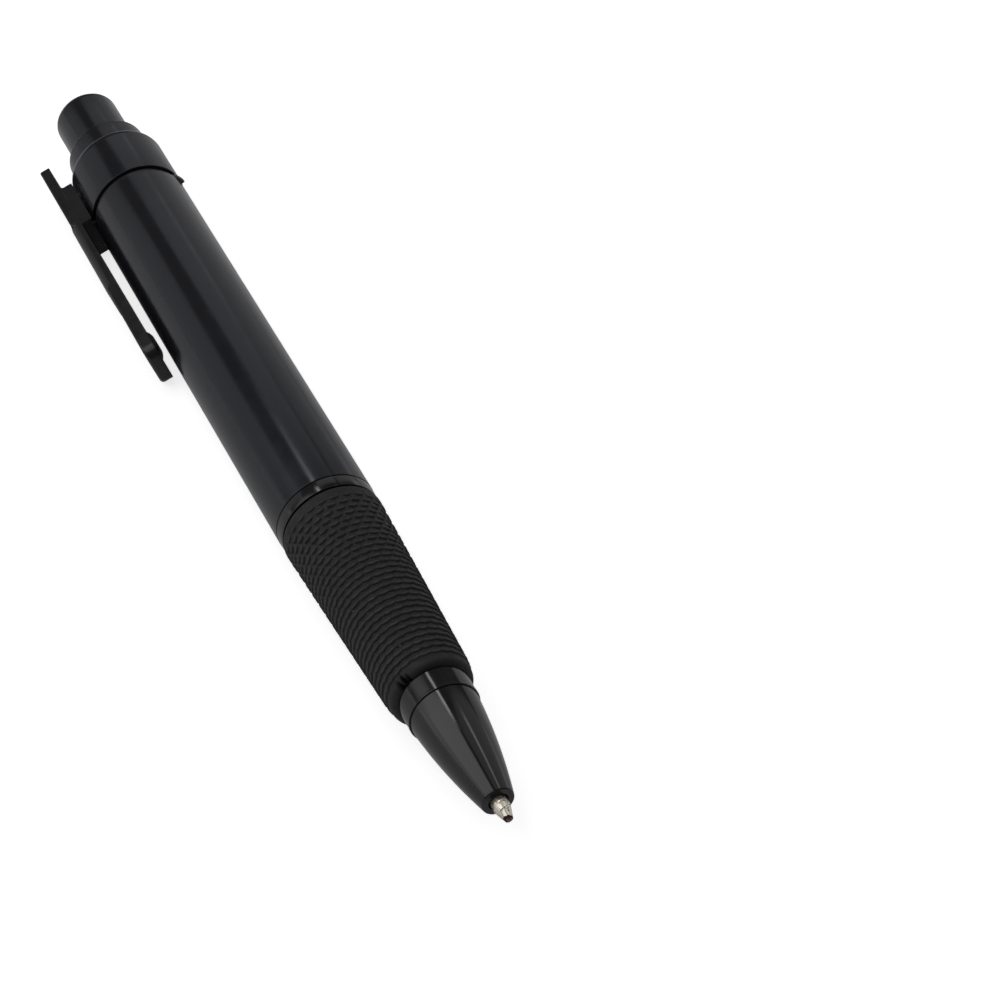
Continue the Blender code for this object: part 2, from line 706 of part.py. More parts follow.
def make_clip_ring(pen):
    """Ring on the cap's spigot, with the ear on one side and the clip's padded post on the other."""
    corners = [
        (0.0, ring_bore, 0.0),
        (0.0, ring_radius, 0.0),
        (RING_THICKNESS, ring_radius, 0.0),
        (RING_THICKNESS, ring_bore, 0.0),
    ]
    ring = turned("clip_ring", corners, SHELL_STEPS, CLIP_BLACK, pen, -RING_THICKNESS / 2)
    half = RING_THICKNESS / 2
    width = CLIP_WIDTH / 2
    seat = ring_bore + SLIDE
    ear_mesh = sector_mesh("ring_ear", seat, ear_radius, EAR_HALF_ANGLE, EAR_MIDDLE,
                           lambda offset: -half, lambda offset: half, 1)
    merge_shape(ring, add_object("ring_ear", ear_mesh, pen, (0.0, 0.0, 0.0), None))
    post_mesh = swept_mesh("clip_post", lambda across: post_outline(across, half, seat), -width, width)
    pad_low = arm_outer - CLIP_THICKNESS / 2
    pad_high = arm_outer + PAD_HEIGHT
    pad = [(-PAD_REAR, pad_low), (post_front, pad_low), (post_front, pad_high), (-PAD_REAR, pad_high)]
    pad_mesh = prism_mesh("post_pad", pad, -PAD_WIDTH / 2, PAD_WIDTH / 2)
    for name, mesh in (("clip_post", post_mesh), ("post_pad", pad_mesh)):
        tool = add_object(name, mesh, pen, (0.0, 0.0, 0.0), None)
        tool.rotation_euler.x = pi
        merge_shape(ring, tool)


def swelled(mesh, rear):
    """Thicken a plate of the clip's arm on both sides towards the arm's end."""
    for vert in mesh.vertices:
        share = (vert.co.x - rear) / arm_length
        vert.co.z += share * (CLIP_SWELL_OUTER if vert.co.z > 0.0 else -CLIP_SWELL_INNER)
    return mesh


def make_clip_arm(hinge):
    """Free arm of the clip, in plan, with the rest of the raised pad outside and the nub inside."""
    width = CLIP_WIDTH / 2
    half = CLIP_THICKNESS / 2
    rear = arm_rear - hinge_station
    end_round = min(CLIP_END_ROUND, 0.9 * width)
    plan = [
        (rear, -width, 0.0),
        (rear + arm_length, -width, end_round),
        (rear + arm_length, width, end_round),
        (rear, width, 0.0),
    ]
    plate = swelled(prism_mesh("clip_arm", filleted(plan), -half, half), rear)
    arm = add_object("clip_arm", plate, hinge, (0.0, 0.0, 0.0), CLIP_BLACK)
    arm.rotation_euler.x = pi / 2

    pad_half = PAD_WIDTH / 2
    pad_end = PAD_FRONT - hinge_station
    pad_plan = [(rear, -pad_half), (pad_end, -pad_half), (pad_end, pad_half), (rear, pad_half)]
    nub_middle = NUB_STATION - hinge_station
    nub_plan = []
    for step in range(2 * ARC_STEPS * 2):
        angle = pi * step / (2 * ARC_STEPS)
        nub_plan.append((nub_middle + NUB_LENGTH / 2 * cos(angle), NUB_WIDTH / 2 * sin(angle)))
    extras = (("clip_pad", pad_plan, 0.0, half + PAD_HEIGHT),
              ("clip_nub", nub_plan, -half - NUB_HEIGHT, 0.0))
    for name, outline, low, high in extras:
        mesh = swelled(prism_mesh(name, outline, low, high), rear)
        tool = add_object(name, mesh, hinge, (0.0, 0.0, 0.0), None)
        tool.rotation_euler.x = pi / 2
        merge_shape(arm, tool)


def main():
    clear_scene()
    centre = -(button_rear + tip_station) / 2
    pen = empty("pen_axis", None, (centre, -(side_low + side_high) / 2, axis_height))
    pen.rotation_euler.x = ROLL
    button = empty("button_slide", pen, (0.0, 0.0, 0.0))
    refill = empty("refill_axis", pen, (0.0, 0.0, 0.0))
    ball = empty("ball_centre", refill, (tip_station - BALL_RADIUS, 0.0, 0.0))
    hinge = empty("clip_hinge", pen, (hinge_station, -hinge_radius, 0.0))

    make_barrel(pen)
    make_top_cap(pen)
    make_clip_ring(pen)
    make_clip_arm(hinge)
    make_push_button(button)
    make_plunger(button)
    make_cam_guide(pen)
    make_cam_rotor(refill)
    make_refill(refill)
    make_refill_point(refill, ball)
    make_return_spring(pen)
    make_front_section(pen)
    make_grip_sleeve(pen)
    make_nose_cone(pen)


main()
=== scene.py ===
"""Looks of a black retractable ballpoint pen that lies on its clip with the point out.

Pieces are drawn along the pen's own axis: x runs from the middle of the clip ring towards the
point, and -y towards the clip. PEN then lays them where the solids lie on the table.
"""

import json
from math import acos, atan2, cos, pi, radians, sin, sqrt, tan

import bmesh
import bpy
from mathutils import Matrix, Quaternion, Vector


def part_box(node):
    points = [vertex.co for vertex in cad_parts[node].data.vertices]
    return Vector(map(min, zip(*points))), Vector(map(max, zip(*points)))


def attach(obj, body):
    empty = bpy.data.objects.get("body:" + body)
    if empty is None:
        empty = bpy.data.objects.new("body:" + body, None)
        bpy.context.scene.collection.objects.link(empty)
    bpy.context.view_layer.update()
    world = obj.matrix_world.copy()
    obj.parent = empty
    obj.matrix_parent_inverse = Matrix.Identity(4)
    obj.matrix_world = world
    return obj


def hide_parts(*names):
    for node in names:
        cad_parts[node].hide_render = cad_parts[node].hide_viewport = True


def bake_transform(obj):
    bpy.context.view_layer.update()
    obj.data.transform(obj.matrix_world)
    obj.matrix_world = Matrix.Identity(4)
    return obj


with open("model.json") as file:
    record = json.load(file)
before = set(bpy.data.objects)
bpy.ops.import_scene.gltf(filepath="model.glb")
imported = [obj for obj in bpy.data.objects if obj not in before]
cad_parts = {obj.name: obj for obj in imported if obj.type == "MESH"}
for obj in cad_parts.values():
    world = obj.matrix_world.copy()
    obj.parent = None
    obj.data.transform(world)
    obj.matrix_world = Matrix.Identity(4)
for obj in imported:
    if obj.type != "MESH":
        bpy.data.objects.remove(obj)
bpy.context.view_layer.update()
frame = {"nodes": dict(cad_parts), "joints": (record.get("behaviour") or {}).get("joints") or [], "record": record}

MM = 0.001
WELD = 1e-7

# The pen's axis and its roll on the table, from the joints of the cam and of the clip
joints = {joint["name"]: joint for joint in frame["joints"]}
pen_middle = Vector(joints["cam_turn"]["pos_m"])
hinge_axis = Vector(joints["clip_flex"]["axis"])
PEN = Matrix.Translation(pen_middle) @ Matrix.Rotation(atan2(hinge_axis.y, -hinge_axis.z), 4, "X")

# Seams and small edges
SEAM = 0.10 * MM
TOUCH = 0.01 * MM
EDGE = 0.08 * MM
RING_EDGE = 0.10 * MM
RING_HALF = 0.35 * MM

# Barrel
BARREL_REAR_RADIUS = 6.33 * MM
BARREL_FRONT_RADIUS = 6.545 * MM
BARREL_SOCKET = 5.45 * MM
BARREL_BORE = 4.70 * MM
BARREL_LEDGE = 9.2 * MM

# Cap and push button
CAP_RADIUS = 6.45 * MM
CAP_BORE = 4.50 * MM
NECK_RADIUS = 5.30 * MM
NECK_LENGTH = 3.3 * MM
NECK_ROUND = 0.35 * MM
SHOULDER_LENGTH = 1.5 * MM
SHOULDER_STEPS = 12
SPIGOT_RADIUS = 5.25 * MM
BUTTON_RADIUS = 4.25 * MM
BUTTON_ROUND = 1.4 * MM
BUTTON_WALL = 1.0 * MM
BUTTON_END_WALL = 1.4 * MM

# Clip: radii from the pen's axis, stations from the middle of the ring
CLIP_INNER = 7.62 * MM
CLIP_OUTER = 9.02 * MM
CLIP_SWELL_INNER = 0.12 * MM
CLIP_SWELL_OUTER = 0.18 * MM
CLIP_WIDTH = 6.6 * MM
CLIP_REAR = -12.4 * MM
CLIP_FRONT = 28.15 * MM
CLIP_EDGE = 0.22 * MM
CLIP_INNER_EDGE = 0.08 * MM
CLIP_END_ROUND = 1.8 * MM
CLIP_NOSE_ROUND = 0.55 * MM
CLIP_NOSE_LENGTH = 3.0 * MM
CLIP_STEPS = 40
CLIP_END_STEPS = 18
EDGE_STEPS = 8
ARM_REAR = 0.70 * MM
POST_REAR = -7.5 * MM
POST_FRONT = 0.40 * MM
POST_FILLET = 0.45 * MM
POST_INSET = 0.10 * MM
POST_STANDOFF = 0.45 * MM
LEG_INSET = 1.3 * MM
POST_STEPS = 24
PAD_REAR = -0.20 * MM
PAD_FRONT = 13.60 * MM
PAD_HEIGHT = 0.20 * MM
PAD_RAMP = 0.30 * MM
PAD_ROUND = 1.05 * MM
NUB_STATION = 23.85 * MM
NUB_LENGTH = 3.6 * MM
NUB_WIDTH = 2.4 * MM
NUB_HEIGHT = 0.50 * MM
NUB_STEPS = 20
RING_RADIUS = 6.10 * MM
RING_STEPS = 256
EAR_LOW_RADIUS = 6.35 * MM
EAR_RADIUS = 6.85 * MM
EAR_START = radians(1.0)
EAR_END = radians(18.0)

# Front section, grip and nose
BAND_LENGTH = 1.75 * MM
BAND_RADIUS = 6.515 * MM
BAND_FRONT_RADIUS = 6.46 * MM
FRONT_SPIGOT_RADIUS = 4.50 * MM
FRONT_BORE = 2.40 * MM
CORE_REAR_RADIUS = 5.37 * MM
CORE_FRONT_RADIUS = 4.20 * MM
COLLAR_REAR_RADIUS = 4.58 * MM
COLLAR_RADIUS = 4.50 * MM
COLLAR_LIP = 0.06 * MM
COLLAR_LIP_LENGTH = 0.35 * MM
GRIP_REAR_RADIUS = 6.44 * MM
GRIP_FRONT_RADIUS = 5.26 * MM
GRIP_LIP = 0.18 * MM
GRIP_LIP_STATION = 0.8 * MM
GRIP_LIP_LENGTH = 2.4 * MM
GRIP_END_ROUND = 0.9 * MM
GROOVE_LENGTH = 0.50 * MM
NOSE_SOCKET = 3.70 * MM
NOSE_SPIGOT_RADIUS = 3.50 * MM
NOSE_RADIUS = 4.38 * MM
NOSE_END_RADIUS = 2.01 * MM
NOSE_SLOPE = 0.065
NOSE_HOLE = 1.27 * MM
NOSE_END_ROUND = 0.2 * MM
NOSE_STEPS = 28

# Scales of the grip
SCALE_PITCH = 1.0 * MM
SCALE_COLUMNS = 25
SCALE_FIRST = 0.9 * MM
SCALE_MARGIN = 1.2 * MM
SCALE_LIFT = 0.19 * MM
SCALE_BOW = 0.16
SLIT_DEPTH = 0.20 * MM
SLIT_WIDTH = 0.24 * MM

# Shares of a column that a slit spans, with its soft ends, and of the grip over which slits widen
SLIT_REAR = 0.70
SLIT_FRONT = 0.98
SLIT_SOFT_INSIDE = 0.20
SLIT_SOFT_OUTSIDE = 0.10
SLIT_GROWTH = 0.6

# Shares of the grip where the scales are fully raised, and of a scale where its crest gets a painted highlight
SCALES_FULL_FROM = 0.06
SCALES_FULL_TO = 0.97
CREST_HIGHLIGHT_FROM = 0.80
CREST_HIGHLIGHT_FULLY = 0.97

# Middle, half width and depth of each nick in the grip's front rim, and how far back it pulls
NICKS = (
    (radians(108.0), radians(4.0), 0.7 * MM),
    (radians(115.0), radians(4.0), 1.3 * MM),
    (radians(124.0), radians(5.0), 0.9 * MM),
)
NICK_REACH = 1.8 * MM

# Points along and round the grip
ROW_SHARES = (0.0, 0.05, 0.10, 0.16, 0.24, 0.36, 0.54, 0.74, 0.88, 0.95)
COLUMN_POINTS = 11
RIM_POINTS = 10
END_POINTS = 20

# Refill point, ball and spring
POINT_RADIUS = 1.05 * MM
POINT_SHOULDER = 1.27 * MM
POINT_SHANK = 5.1 * MM
POINT_SHANK_RADIUS = 1.02 * MM
POINT_SHOULDER_LENGTH = 0.8 * MM
POINT_CHANNEL = 0.20 * MM
POINT_CONE = 1.9 * MM
RIM_RADIUS = 0.52 * MM
SEAT_RADIUS = 0.44 * MM
BALL_RADIUS = 0.40 * MM
STAIN_LENGTH = 0.22 * MM
STAIN_SPREAD = 0.9 * MM
SPRING_WIRE = 0.20 * MM
SPRING_TURNS = 9
SPRING_TURN_POINTS = 40
SPRING_WIRE_POINTS = 12

# Faces round turned pieces, and along each fillet
SHELL_STEPS = 128
POINT_STEPS = 64
ARC_STEPS = 6

# Sockets of the node that mixes two colours, and the middle of a noise
MIX_AMOUNT = 0
MIX_FIRST = 6
MIX_SECOND = 7
MIX_RESULT = 2
NOISE_MIDDLE = 0.5

# Plastics and rubber: patterns in features per metre, spans of a pattern, depths and colours
MOULD_MOTTLE = 180.0
MOULD_HAZE = 420.0
MOULD_HAZE_SPAN = (0.3, 0.7)
MOULD_GRAIN = 6000.0
RUBBER_MOTTLE = 900.0
RUBBER_GLOSS_SPAN = (0.2, 0.8)
RUBBER_SMOOTH = 0.57
RUBBER_ROUGH = 0.75
RUBBER_TOOTH = 9000.0
RUBBER_TOOTH_DEPTH = 0.02 * MM
# Painted shade that darkens the slits of the grip
SLIT_SHADE_COLOUR = (0.002, 0.002, 0.002)
# Painted highlight, in patches, on the crests of the scales
CREST_HIGHLIGHT_COLOUR = (0.062, 0.062, 0.060)
CREST_HIGHLIGHT_SPAN = (0.35, 0.60)
DUST_CELLS = 900.0
DUST_SPAN = (0.05, 0.12)
DUST_RARITY = 0.93

# Metals, in the same way
METAL_SPECKS = 2600.0
METAL_SPECK_ROUGHNESS = 0.7
METAL_SPECK_SPAN = (0.56, 0.70)
METAL_HAZE = 1500.0
METAL_HAZE_SPAN = (0.25, 0.75)
METAL_HAZE_GAIN = 0.15
TOOL_RINGS = 2200.0
TOOL_RING_DEPTH = 0.004 * MM
NICKEL_MOTTLE = 1400.0
NICKEL_HAZE_SPAN = (0.3, 0.7)
NICKEL_SMOOTH = 0.18
NICKEL_ROUGH = 0.32
NICKEL_METALLIC = 0.85
NICKEL_DENTS = 1100.0
NICKEL_DENT_DEPTH = 0.06 * MM
NICKEL_PITS = 2600.0
NICKEL_PIT_SPAN = (0.64, 0.70)
CRACK_SPAN = (0.006, 0.026)
CRACK_STRENGTH = 0.9

# Table and light
TABLE_SIZE = 4.0
TABLE_TINT = 3.0
TABLE_DARK = (0.79, 0.79, 0.79)
TABLE_LIGHT = (0.81, 0.81, 0.81)
TABLE_ROUGHNESS = 0.9
TABLE_GLOW = 0.78
TABLE_SHEEN = 0.10
ROOM_LIGHT = 0.10
ROOM_COLOUR = (0.97, 0.98, 1.0)
SOFTBOX_DISTANCE = 0.8

# Camera at the photograph's viewing angle
CAMERA_AIM = Vector((14.980, 25.190, 1.155)) * MM
CAMERA_AZIMUTH = radians(64.185)
CAMERA_ELEVATION = radians(41.814)
CAMERA_ROLL = radians(3.034)
CAMERA_DISTANCE = 560.0 * MM
CAMERA_LENS = 162.0
CAMERA_SENSOR = 36.0
CAMERA_NEAR = 0.01
CAMERA_FAR = 20.0


def reach(node):
    """Stations of a node's two ends along the pen."""
    low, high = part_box(node)
    return low.x - pen_middle.x, high.x - pen_middle.x


barrel_rear, barrel_end = reach("barrel")
cap_rear, spigot_end = reach("top_cap")
cap_front = -RING_HALF - SEAM
button_rear, button_front = reach("push_button")
front_rear, collar_front = reach("front_section")
grip_rear, grip_front = reach("grip_sleeve")
nose_spigot_rear, nose_front = reach("nose_cone")
point_rear, point_front = reach("refill_point")
tip = reach("writing_ball")[1]
spring_rear, spring_front = reach("return_spring")
band_front = grip_rear - SEAM
collar_rear = grip_front + SEAM


class Graph:
    """Short spelling for a node tree that is built in code."""

    def __init__(self, tree):
        self.tree = tree

    def node(self, kind, inputs=None, **settings):
        """Add a node, set it up, and link or set its inputs by name or number."""
        made = self.tree.nodes.new(kind)
        for key, value in settings.items():
            setattr(made, key, value)
        for key, value in (inputs or {}).items():
            self.feed(made.inputs[key], value)
        return made

    def feed(self, socket, value):
        """Link a socket to another one, or give it a plain value."""
        if isinstance(value, bpy.types.NodeSocket):
            self.tree.links.new(value, socket)
        elif socket.type == "RGBA":
            socket.default_value = (*value, 1.0)
        else:
            socket.default_value = value

    def math(self, operation, *values):
        """A Math node's result."""
        made = self.node("ShaderNodeMath", dict(enumerate(values)), operation=operation)
        return made.outputs[0]

    def ramp(self, value, start, end, low=0.0, high=1.0):
        """A smooth step from low to high while value goes from start to end."""
        given = {"Value": value, "From Min": start, "From Max": end, "To Min": low, "To Max": high}
        made = self.node("ShaderNodeMapRange", given, interpolation_type="SMOOTHSTEP")
        return made.outputs["Result"]


def hypot_yz(point):
    """Distance of a point from the pen's axis."""
    return sqrt(point.y ** 2 + point.z ** 2)


def corner_drop(distance, radius):
    """How far a rounded corner has fallen back at a distance from the end face."""
    return radius - sqrt(max(0.0, radius ** 2 - max(0.0, radius - distance) ** 2))


def clamped(share):
    """A share held between 0 and 1."""
    return min(1.0, max(0.0, share))


def filleted(corners):
    """Outline through corners (x, radius, fillet), with each fillet as an arc."""
    outline = []
    for index, (x, radius, fillet) in enumerate(corners):
        corner = Vector((x, radius))
        if fillet == 0.0:
            outline.append(corner)
            continue
        after = corners[(index + 1) % len(corners)]
        back = (Vector(corners[index - 1][:2]) - corner).normalized()
        ahead = (Vector(after[:2]) - corner).normalized()
        half = back.angle(ahead) / 2
        centre = corner + (back + ahead).normalized() * (fillet / sin(half))
        start = corner + back * (fillet / tan(half)) - centre
        end = corner + ahead * (fillet / tan(half)) - centre
        for step in range(ARC_STEPS + 1):
            outline.append(centre + start.lerp(end, step / ARC_STEPS).normalized() * fillet)
    return outline


def plain(points):
    """Corners with no fillet, for points (x, radius) that already follow a curve."""
    return [(x, radius, 0.0) for x, radius in points]


def spin(bm, corners, steps):
    """Turn an outline about the pen's axis inside a bmesh."""
    outline = filleted(corners)
    verts = [bm.verts.new((x, 0.0, radius)) for x, radius in outline]
    edges = [bm.edges.new(pair) for pair in zip(verts, verts[1:])]
    if outline[0].y > WELD:
        edges.append(bm.edges.new((verts[-1], verts[0])))
    bmesh.ops.spin(
        bm, geom=verts + edges, cent=(0, 0, 0), axis=(1, 0, 0), angle=2 * pi, steps=steps, use_merge=True,
    )


def close_mesh(bm, name, sharp_angle=30.0):
    """Weld a bmesh drawn on the pen's axis into a mesh that faces out."""
    bmesh.ops.remove_doubles(bm, verts=bm.verts, dist=WELD)
    bmesh.ops.recalc_face_normals(bm, faces=bm.faces)
    mesh = bpy.data.meshes.new(name)
    bm.to_mesh(mesh)
    bm.free()
    mesh.shade_smooth()
    mesh.set_sharp_from_angle(angle=radians(sharp_angle))
    return mesh


def add_piece(name, mesh, finish):
    """Lay a mesh drawn on the pen's axis on the table, as an object with a finish."""
    mesh.transform(PEN)
    mesh.materials.clear()
    mesh.materials.append(finish)
    piece = bpy.data.objects.new(name, mesh)
    bpy.context.scene.collection.objects.link(piece)
    return piece


def dress(piece, body, slot, *nodes):
    """Let a piece ride on a body in place of its solids."""
    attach(piece, body)
    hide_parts(*nodes)


def turned(name, corners, steps, finish):
    """A turned piece on the pen's axis."""
    bm = bmesh.new()
    spin(bm, corners, steps)
    return add_piece(name, close_mesh(bm, name), finish)


def shaped_by(tree, name, mesh, settings):
    """Run a mesh through a Geometry Nodes tree and return the result as a plain mesh."""
    carrier = bpy.data.objects.new(name + "_carrier", mesh)
    bpy.context.scene.collection.objects.link(carrier)
    modifier = carrier.modifiers.new(tree.name, "NODES")
    modifier.node_group = tree
    for item in tree.interface.items_tree:
        if item.in_out == "INPUT" and item.name in settings:
            modifier[item.identifier] = settings[item.name]
    evaluated = carrier.evaluated_get(bpy.context.evaluated_depsgraph_get())
    result = bpy.data.meshes.new_from_object(evaluated)
    carrier.modifiers.clear()
    bpy.data.objects.remove(carrier)
    result.name = name
    return result


def new_tree(name, numbers):
    """A Geometry Nodes tree with geometry in and out, named number inputs and a finish."""
    tree = bpy.data.node_groups.new(name, "GeometryNodeTree")
    tree.interface.new_socket("Geometry", in_out="INPUT", socket_type="NodeSocketGeometry")
    tree.interface.new_socket("Geometry", in_out="OUTPUT", socket_type="NodeSocketGeometry")
    for number in numbers:
        tree.interface.new_socket(number, in_out="INPUT", socket_type="NodeSocketFloat")
    tree.interface.new_socket("Finish", in_out="INPUT", socket_type="NodeSocketMaterial")
    return tree


def finish_tree(graph, geometry, finish):
    """End a tree in real geometry that carries its finish."""
    real = graph.node("GeometryNodeRealizeInstances", {0: geometry})
    painted = graph.node("GeometryNodeSetMaterial", {"Geometry": real.outputs[0], "Material": finish})
    graph.node("NodeGroupOutput", {"Geometry": painted.outputs[0]})


def new_finish(name):
    """A material, its Principled shader and a graph that reads Object coordinates."""
    mat = bpy.data.materials.new(name)
    mat.use_nodes = True
    graph = Graph(mat.node_tree)
    shader = mat.node_tree.nodes["Principled BSDF"]
    place = graph.node("ShaderNodeTexCoord").outputs["Object"]
    return mat, shader, graph, place


def noise(graph, place, scale, detail=2.0, roughness=0.5):
    """Noise with features about 1/scale metres across."""
    given = {"Vector": place, "Scale": scale, "Detail": detail, "Roughness": roughness}
    return graph.node("ShaderNodeTexNoise", given).outputs["Fac"]


def blend_colours(graph, amount, first, second):
    """Mix two colours by an amount from 0 to 1."""
    given = {MIX_AMOUNT: amount, MIX_FIRST: first, MIX_SECOND: second}
    return graph.node("ShaderNodeMix", given, data_type="RGBA").outputs[MIX_RESULT]


def bumped(graph, shader, height, distance, strength=1.0):
    """Give a shader a bump of a height field, distance metres deep."""
    bump = graph.node("ShaderNodeBump", {"Height": height, "Distance": distance, "Strength": strength})
    graph.feed(shader.inputs["Normal"], bump.outputs["Normal"])


def moulded_plastic(name, dark, light, smooth, rough, grain_depth, tint=(1.0, 1.0, 1.0)):
    """Moulded plastic: a faint mottle in its colour, uneven tinted gloss and a fine grain."""
    mat, shader, graph, place = new_finish(name)
    shader.inputs["Specular Tint"].default_value = (*tint, 1.0)
    mottle = noise(graph, place, MOULD_MOTTLE, detail=3.0)
    graph.feed(shader.inputs["Base Color"], blend_colours(graph, mottle, dark, light))
    haze = noise(graph, place, MOULD_HAZE, detail=4.0)
    graph.feed(shader.inputs["Roughness"], graph.ramp(haze, *MOULD_HAZE_SPAN, smooth, rough))
    bumped(graph, shader, noise(graph, place, MOULD_GRAIN, detail=2.0), grain_depth)
    return mat


def dusty_rubber(name, dark, light, dust):
    """Matt rubber with painted shade in its slits, painted highlights on the scale crests, a fine tooth and a few
    specks of dust.
    """
    mat, shader, graph, place = new_finish(name)
    mottle = noise(graph, place, RUBBER_MOTTLE, detail=4.0)
    # The slit mask paints shade into the grooves of the slits
    slit = graph.node("ShaderNodeAttribute", attribute_name="slit").outputs["Fac"]
    # The crest mask paints a patchy highlight on the crests of the scales
    crest_highlight = graph.node("ShaderNodeAttribute", attribute_name="crest_highlight").outputs["Fac"]
    patchy_highlight = graph.math("MULTIPLY", crest_highlight, graph.ramp(mottle, *CREST_HIGHLIGHT_SPAN))
    skin = blend_colours(graph, patchy_highlight, blend_colours(graph, mottle, dark, light), CREST_HIGHLIGHT_COLOUR)
    painted_rubber = blend_colours(graph, slit, skin, SLIT_SHADE_COLOUR)
    cells = graph.node("ShaderNodeTexVoronoi", {"Vector": place, "Scale": DUST_CELLS})
    speck = graph.ramp(cells.outputs["Distance"], *DUST_SPAN, 1.0, 0.0)
    chosen = graph.node("ShaderNodeSeparateColor", {"Color": cells.outputs["Color"]})
    rare = graph.math("GREATER_THAN", chosen.outputs["Red"], DUST_RARITY)
    amount = graph.math("MULTIPLY", speck, rare)
    graph.feed(shader.inputs["Base Color"], blend_colours(graph, amount, painted_rubber, dust))
    uneven = graph.ramp(mottle, *RUBBER_GLOSS_SPAN, RUBBER_SMOOTH, RUBBER_ROUGH)
    graph.feed(shader.inputs["Roughness"], uneven)
    bumped(graph, shader, noise(graph, place, RUBBER_TOOTH, detail=3.0), RUBBER_TOOTH_DEPTH)
    return mat


def turned_metal(name, bright, tarnish, roughness):
    """Turned metal with fine tool rings round the pen's axis and dark specks."""
    mat, shader, graph, place = new_finish(name)
    specks = noise(graph, place, METAL_SPECKS, detail=4.0, roughness=METAL_SPECK_ROUGHNESS)
    tarnished = graph.ramp(specks, *METAL_SPECK_SPAN)
    graph.feed(shader.inputs["Base Color"], blend_colours(graph, tarnished, bright, tarnish))
    shader.inputs["Metallic"].default_value = 1.0
    haze = noise(graph, place, METAL_HAZE, detail=3.0)
    uneven = graph.ramp(haze, *METAL_HAZE_SPAN, roughness, roughness + METAL_HAZE_GAIN)
    graph.feed(shader.inputs["Roughness"], uneven)
    waves = {"Vector": place, "Scale": TOOL_RINGS, "Distortion": 1.0}
    rings = graph.node("ShaderNodeTexWave", waves, bands_direction="X")
    bumped(graph, shader, rings.outputs["Fac"], TOOL_RING_DEPTH)
    return mat


def worn_nickel(name, bright, dull, dirt, ink):
    """Turned metal, dented and cracked by use, with dried ink round the ball."""
    mat, shader, graph, place = new_finish(name)
    mottle = noise(graph, place, NICKEL_MOTTLE, detail=3.0)
    dents = noise(graph, place, NICKEL_DENTS, detail=1.0)
    from_crack = graph.math("ABSOLUTE", graph.math("SUBTRACT", dents, NOISE_MIDDLE))
    crack = graph.ramp(from_crack, *CRACK_SPAN, CRACK_STRENGTH, 0.0)
    pits = graph.ramp(noise(graph, place, NICKEL_PITS, detail=2.0), *NICKEL_PIT_SPAN)
    metal = blend_colours(graph, mottle, dull, bright)
    marked = blend_colours(graph, graph.math("MAXIMUM", crack, pits), metal, dirt)
    along = graph.node("ShaderNodeSeparateXYZ", {0: place}).outputs["X"]
    end = pen_middle.x + point_front
    ragged = graph.math("MULTIPLY", graph.math("SUBTRACT", mottle, NOISE_MIDDLE), STAIN_SPREAD)
    inked = graph.ramp(graph.math("ADD", along, ragged), end - STAIN_LENGTH, end - STAIN_LENGTH / 2)
    graph.feed(shader.inputs["Base Color"], blend_colours(graph, inked, marked, ink))
    shader.inputs["Metallic"].default_value = NICKEL_METALLIC
    uneven = graph.ramp(mottle, *NICKEL_HAZE_SPAN, NICKEL_SMOOTH, NICKEL_ROUGH)
    graph.feed(shader.inputs["Roughness"], uneven)
    bumped(graph, shader, dents, NICKEL_DENT_DEPTH)
    return mat


def make_finishes():
    """Every finish of the pen by name: one for each slot, and one for the inked ball."""
    return {
        "satin_black": moulded_plastic(
            "satin_black", dark=(0.0105, 0.0105, 0.013), light=(0.0125, 0.0125, 0.015),
            smooth=0.17, rough=0.21, grain_depth=0.001 * MM, tint=(0.86, 0.89, 1.0)),
        "clip_black": moulded_plastic(
            "clip_black", dark=(0.010, 0.010, 0.012), light=(0.013, 0.013, 0.015),
            smooth=0.24, rough=0.32, grain_depth=0.002 * MM),
        "gloss_black": moulded_plastic(
            "gloss_black", dark=(0.008, 0.008, 0.009), light=(0.010, 0.010, 0.011),
            smooth=0.10, rough=0.15, grain_depth=0.0003 * MM),
        "rubber_black": dusty_rubber(
            "rubber_black", dark=(0.009, 0.009, 0.009), light=(0.013, 0.013, 0.013),
            dust=(0.30, 0.29, 0.27)),
        "white_plastic": moulded_plastic(
            "white_plastic", dark=(0.66, 0.66, 0.64), light=(0.72, 0.72, 0.70),
            smooth=0.36, rough=0.46, grain_depth=0.002 * MM),
        "tube_plastic": moulded_plastic(
            "tube_plastic", dark=(0.58, 0.60, 0.62), light=(0.64, 0.66, 0.68),
            smooth=0.28, rough=0.40, grain_depth=0.001 * MM),
        "ink": moulded_plastic(
            "ink", dark=(0.008, 0.009, 0.045), light=(0.012, 0.014, 0.070),
            smooth=0.16, rough=0.26, grain_depth=0.001 * MM),
        "grease": moulded_plastic(
            "grease", dark=(0.56, 0.46, 0.26), light=(0.64, 0.54, 0.34),
            smooth=0.22, rough=0.34, grain_depth=0.004 * MM),
        "nickel": worn_nickel(
            "nickel", bright=(0.95, 0.89, 0.77), dull=(0.74, 0.68, 0.58),
            dirt=(0.04, 0.025, 0.018), ink=(0.04, 0.010, 0.008)),
        "steel": turned_metal(
            "steel", bright=(0.58, 0.59, 0.60), tarnish=(0.34, 0.33, 0.32), roughness=0.24),
        "inked_steel": turned_metal(
            "inked_steel", bright=(0.20, 0.15, 0.13), tarnish=(0.05, 0.02, 0.015), roughness=0.20),
    }


def make_barrel(finishes):
    """Barrel that widens a little towards the point, with a socket for the cap's spigot."""
    corners = [
        (barrel_rear, BARREL_SOCKET, 0.0),
        (barrel_rear, BARREL_REAR_RADIUS, EDGE),
        (barrel_end, BARREL_FRONT_RADIUS, EDGE),
        (barrel_end, BARREL_BORE, 0.0),
        (BARREL_LEDGE, BARREL_BORE, 0.0),
        (BARREL_LEDGE, BARREL_SOCKET, 0.0),
    ]
    barrel = turned("barrel_shell", corners, SHELL_STEPS, finishes["satin_black"])
    dress(barrel, "pen_body", "satin_black", "barrel")


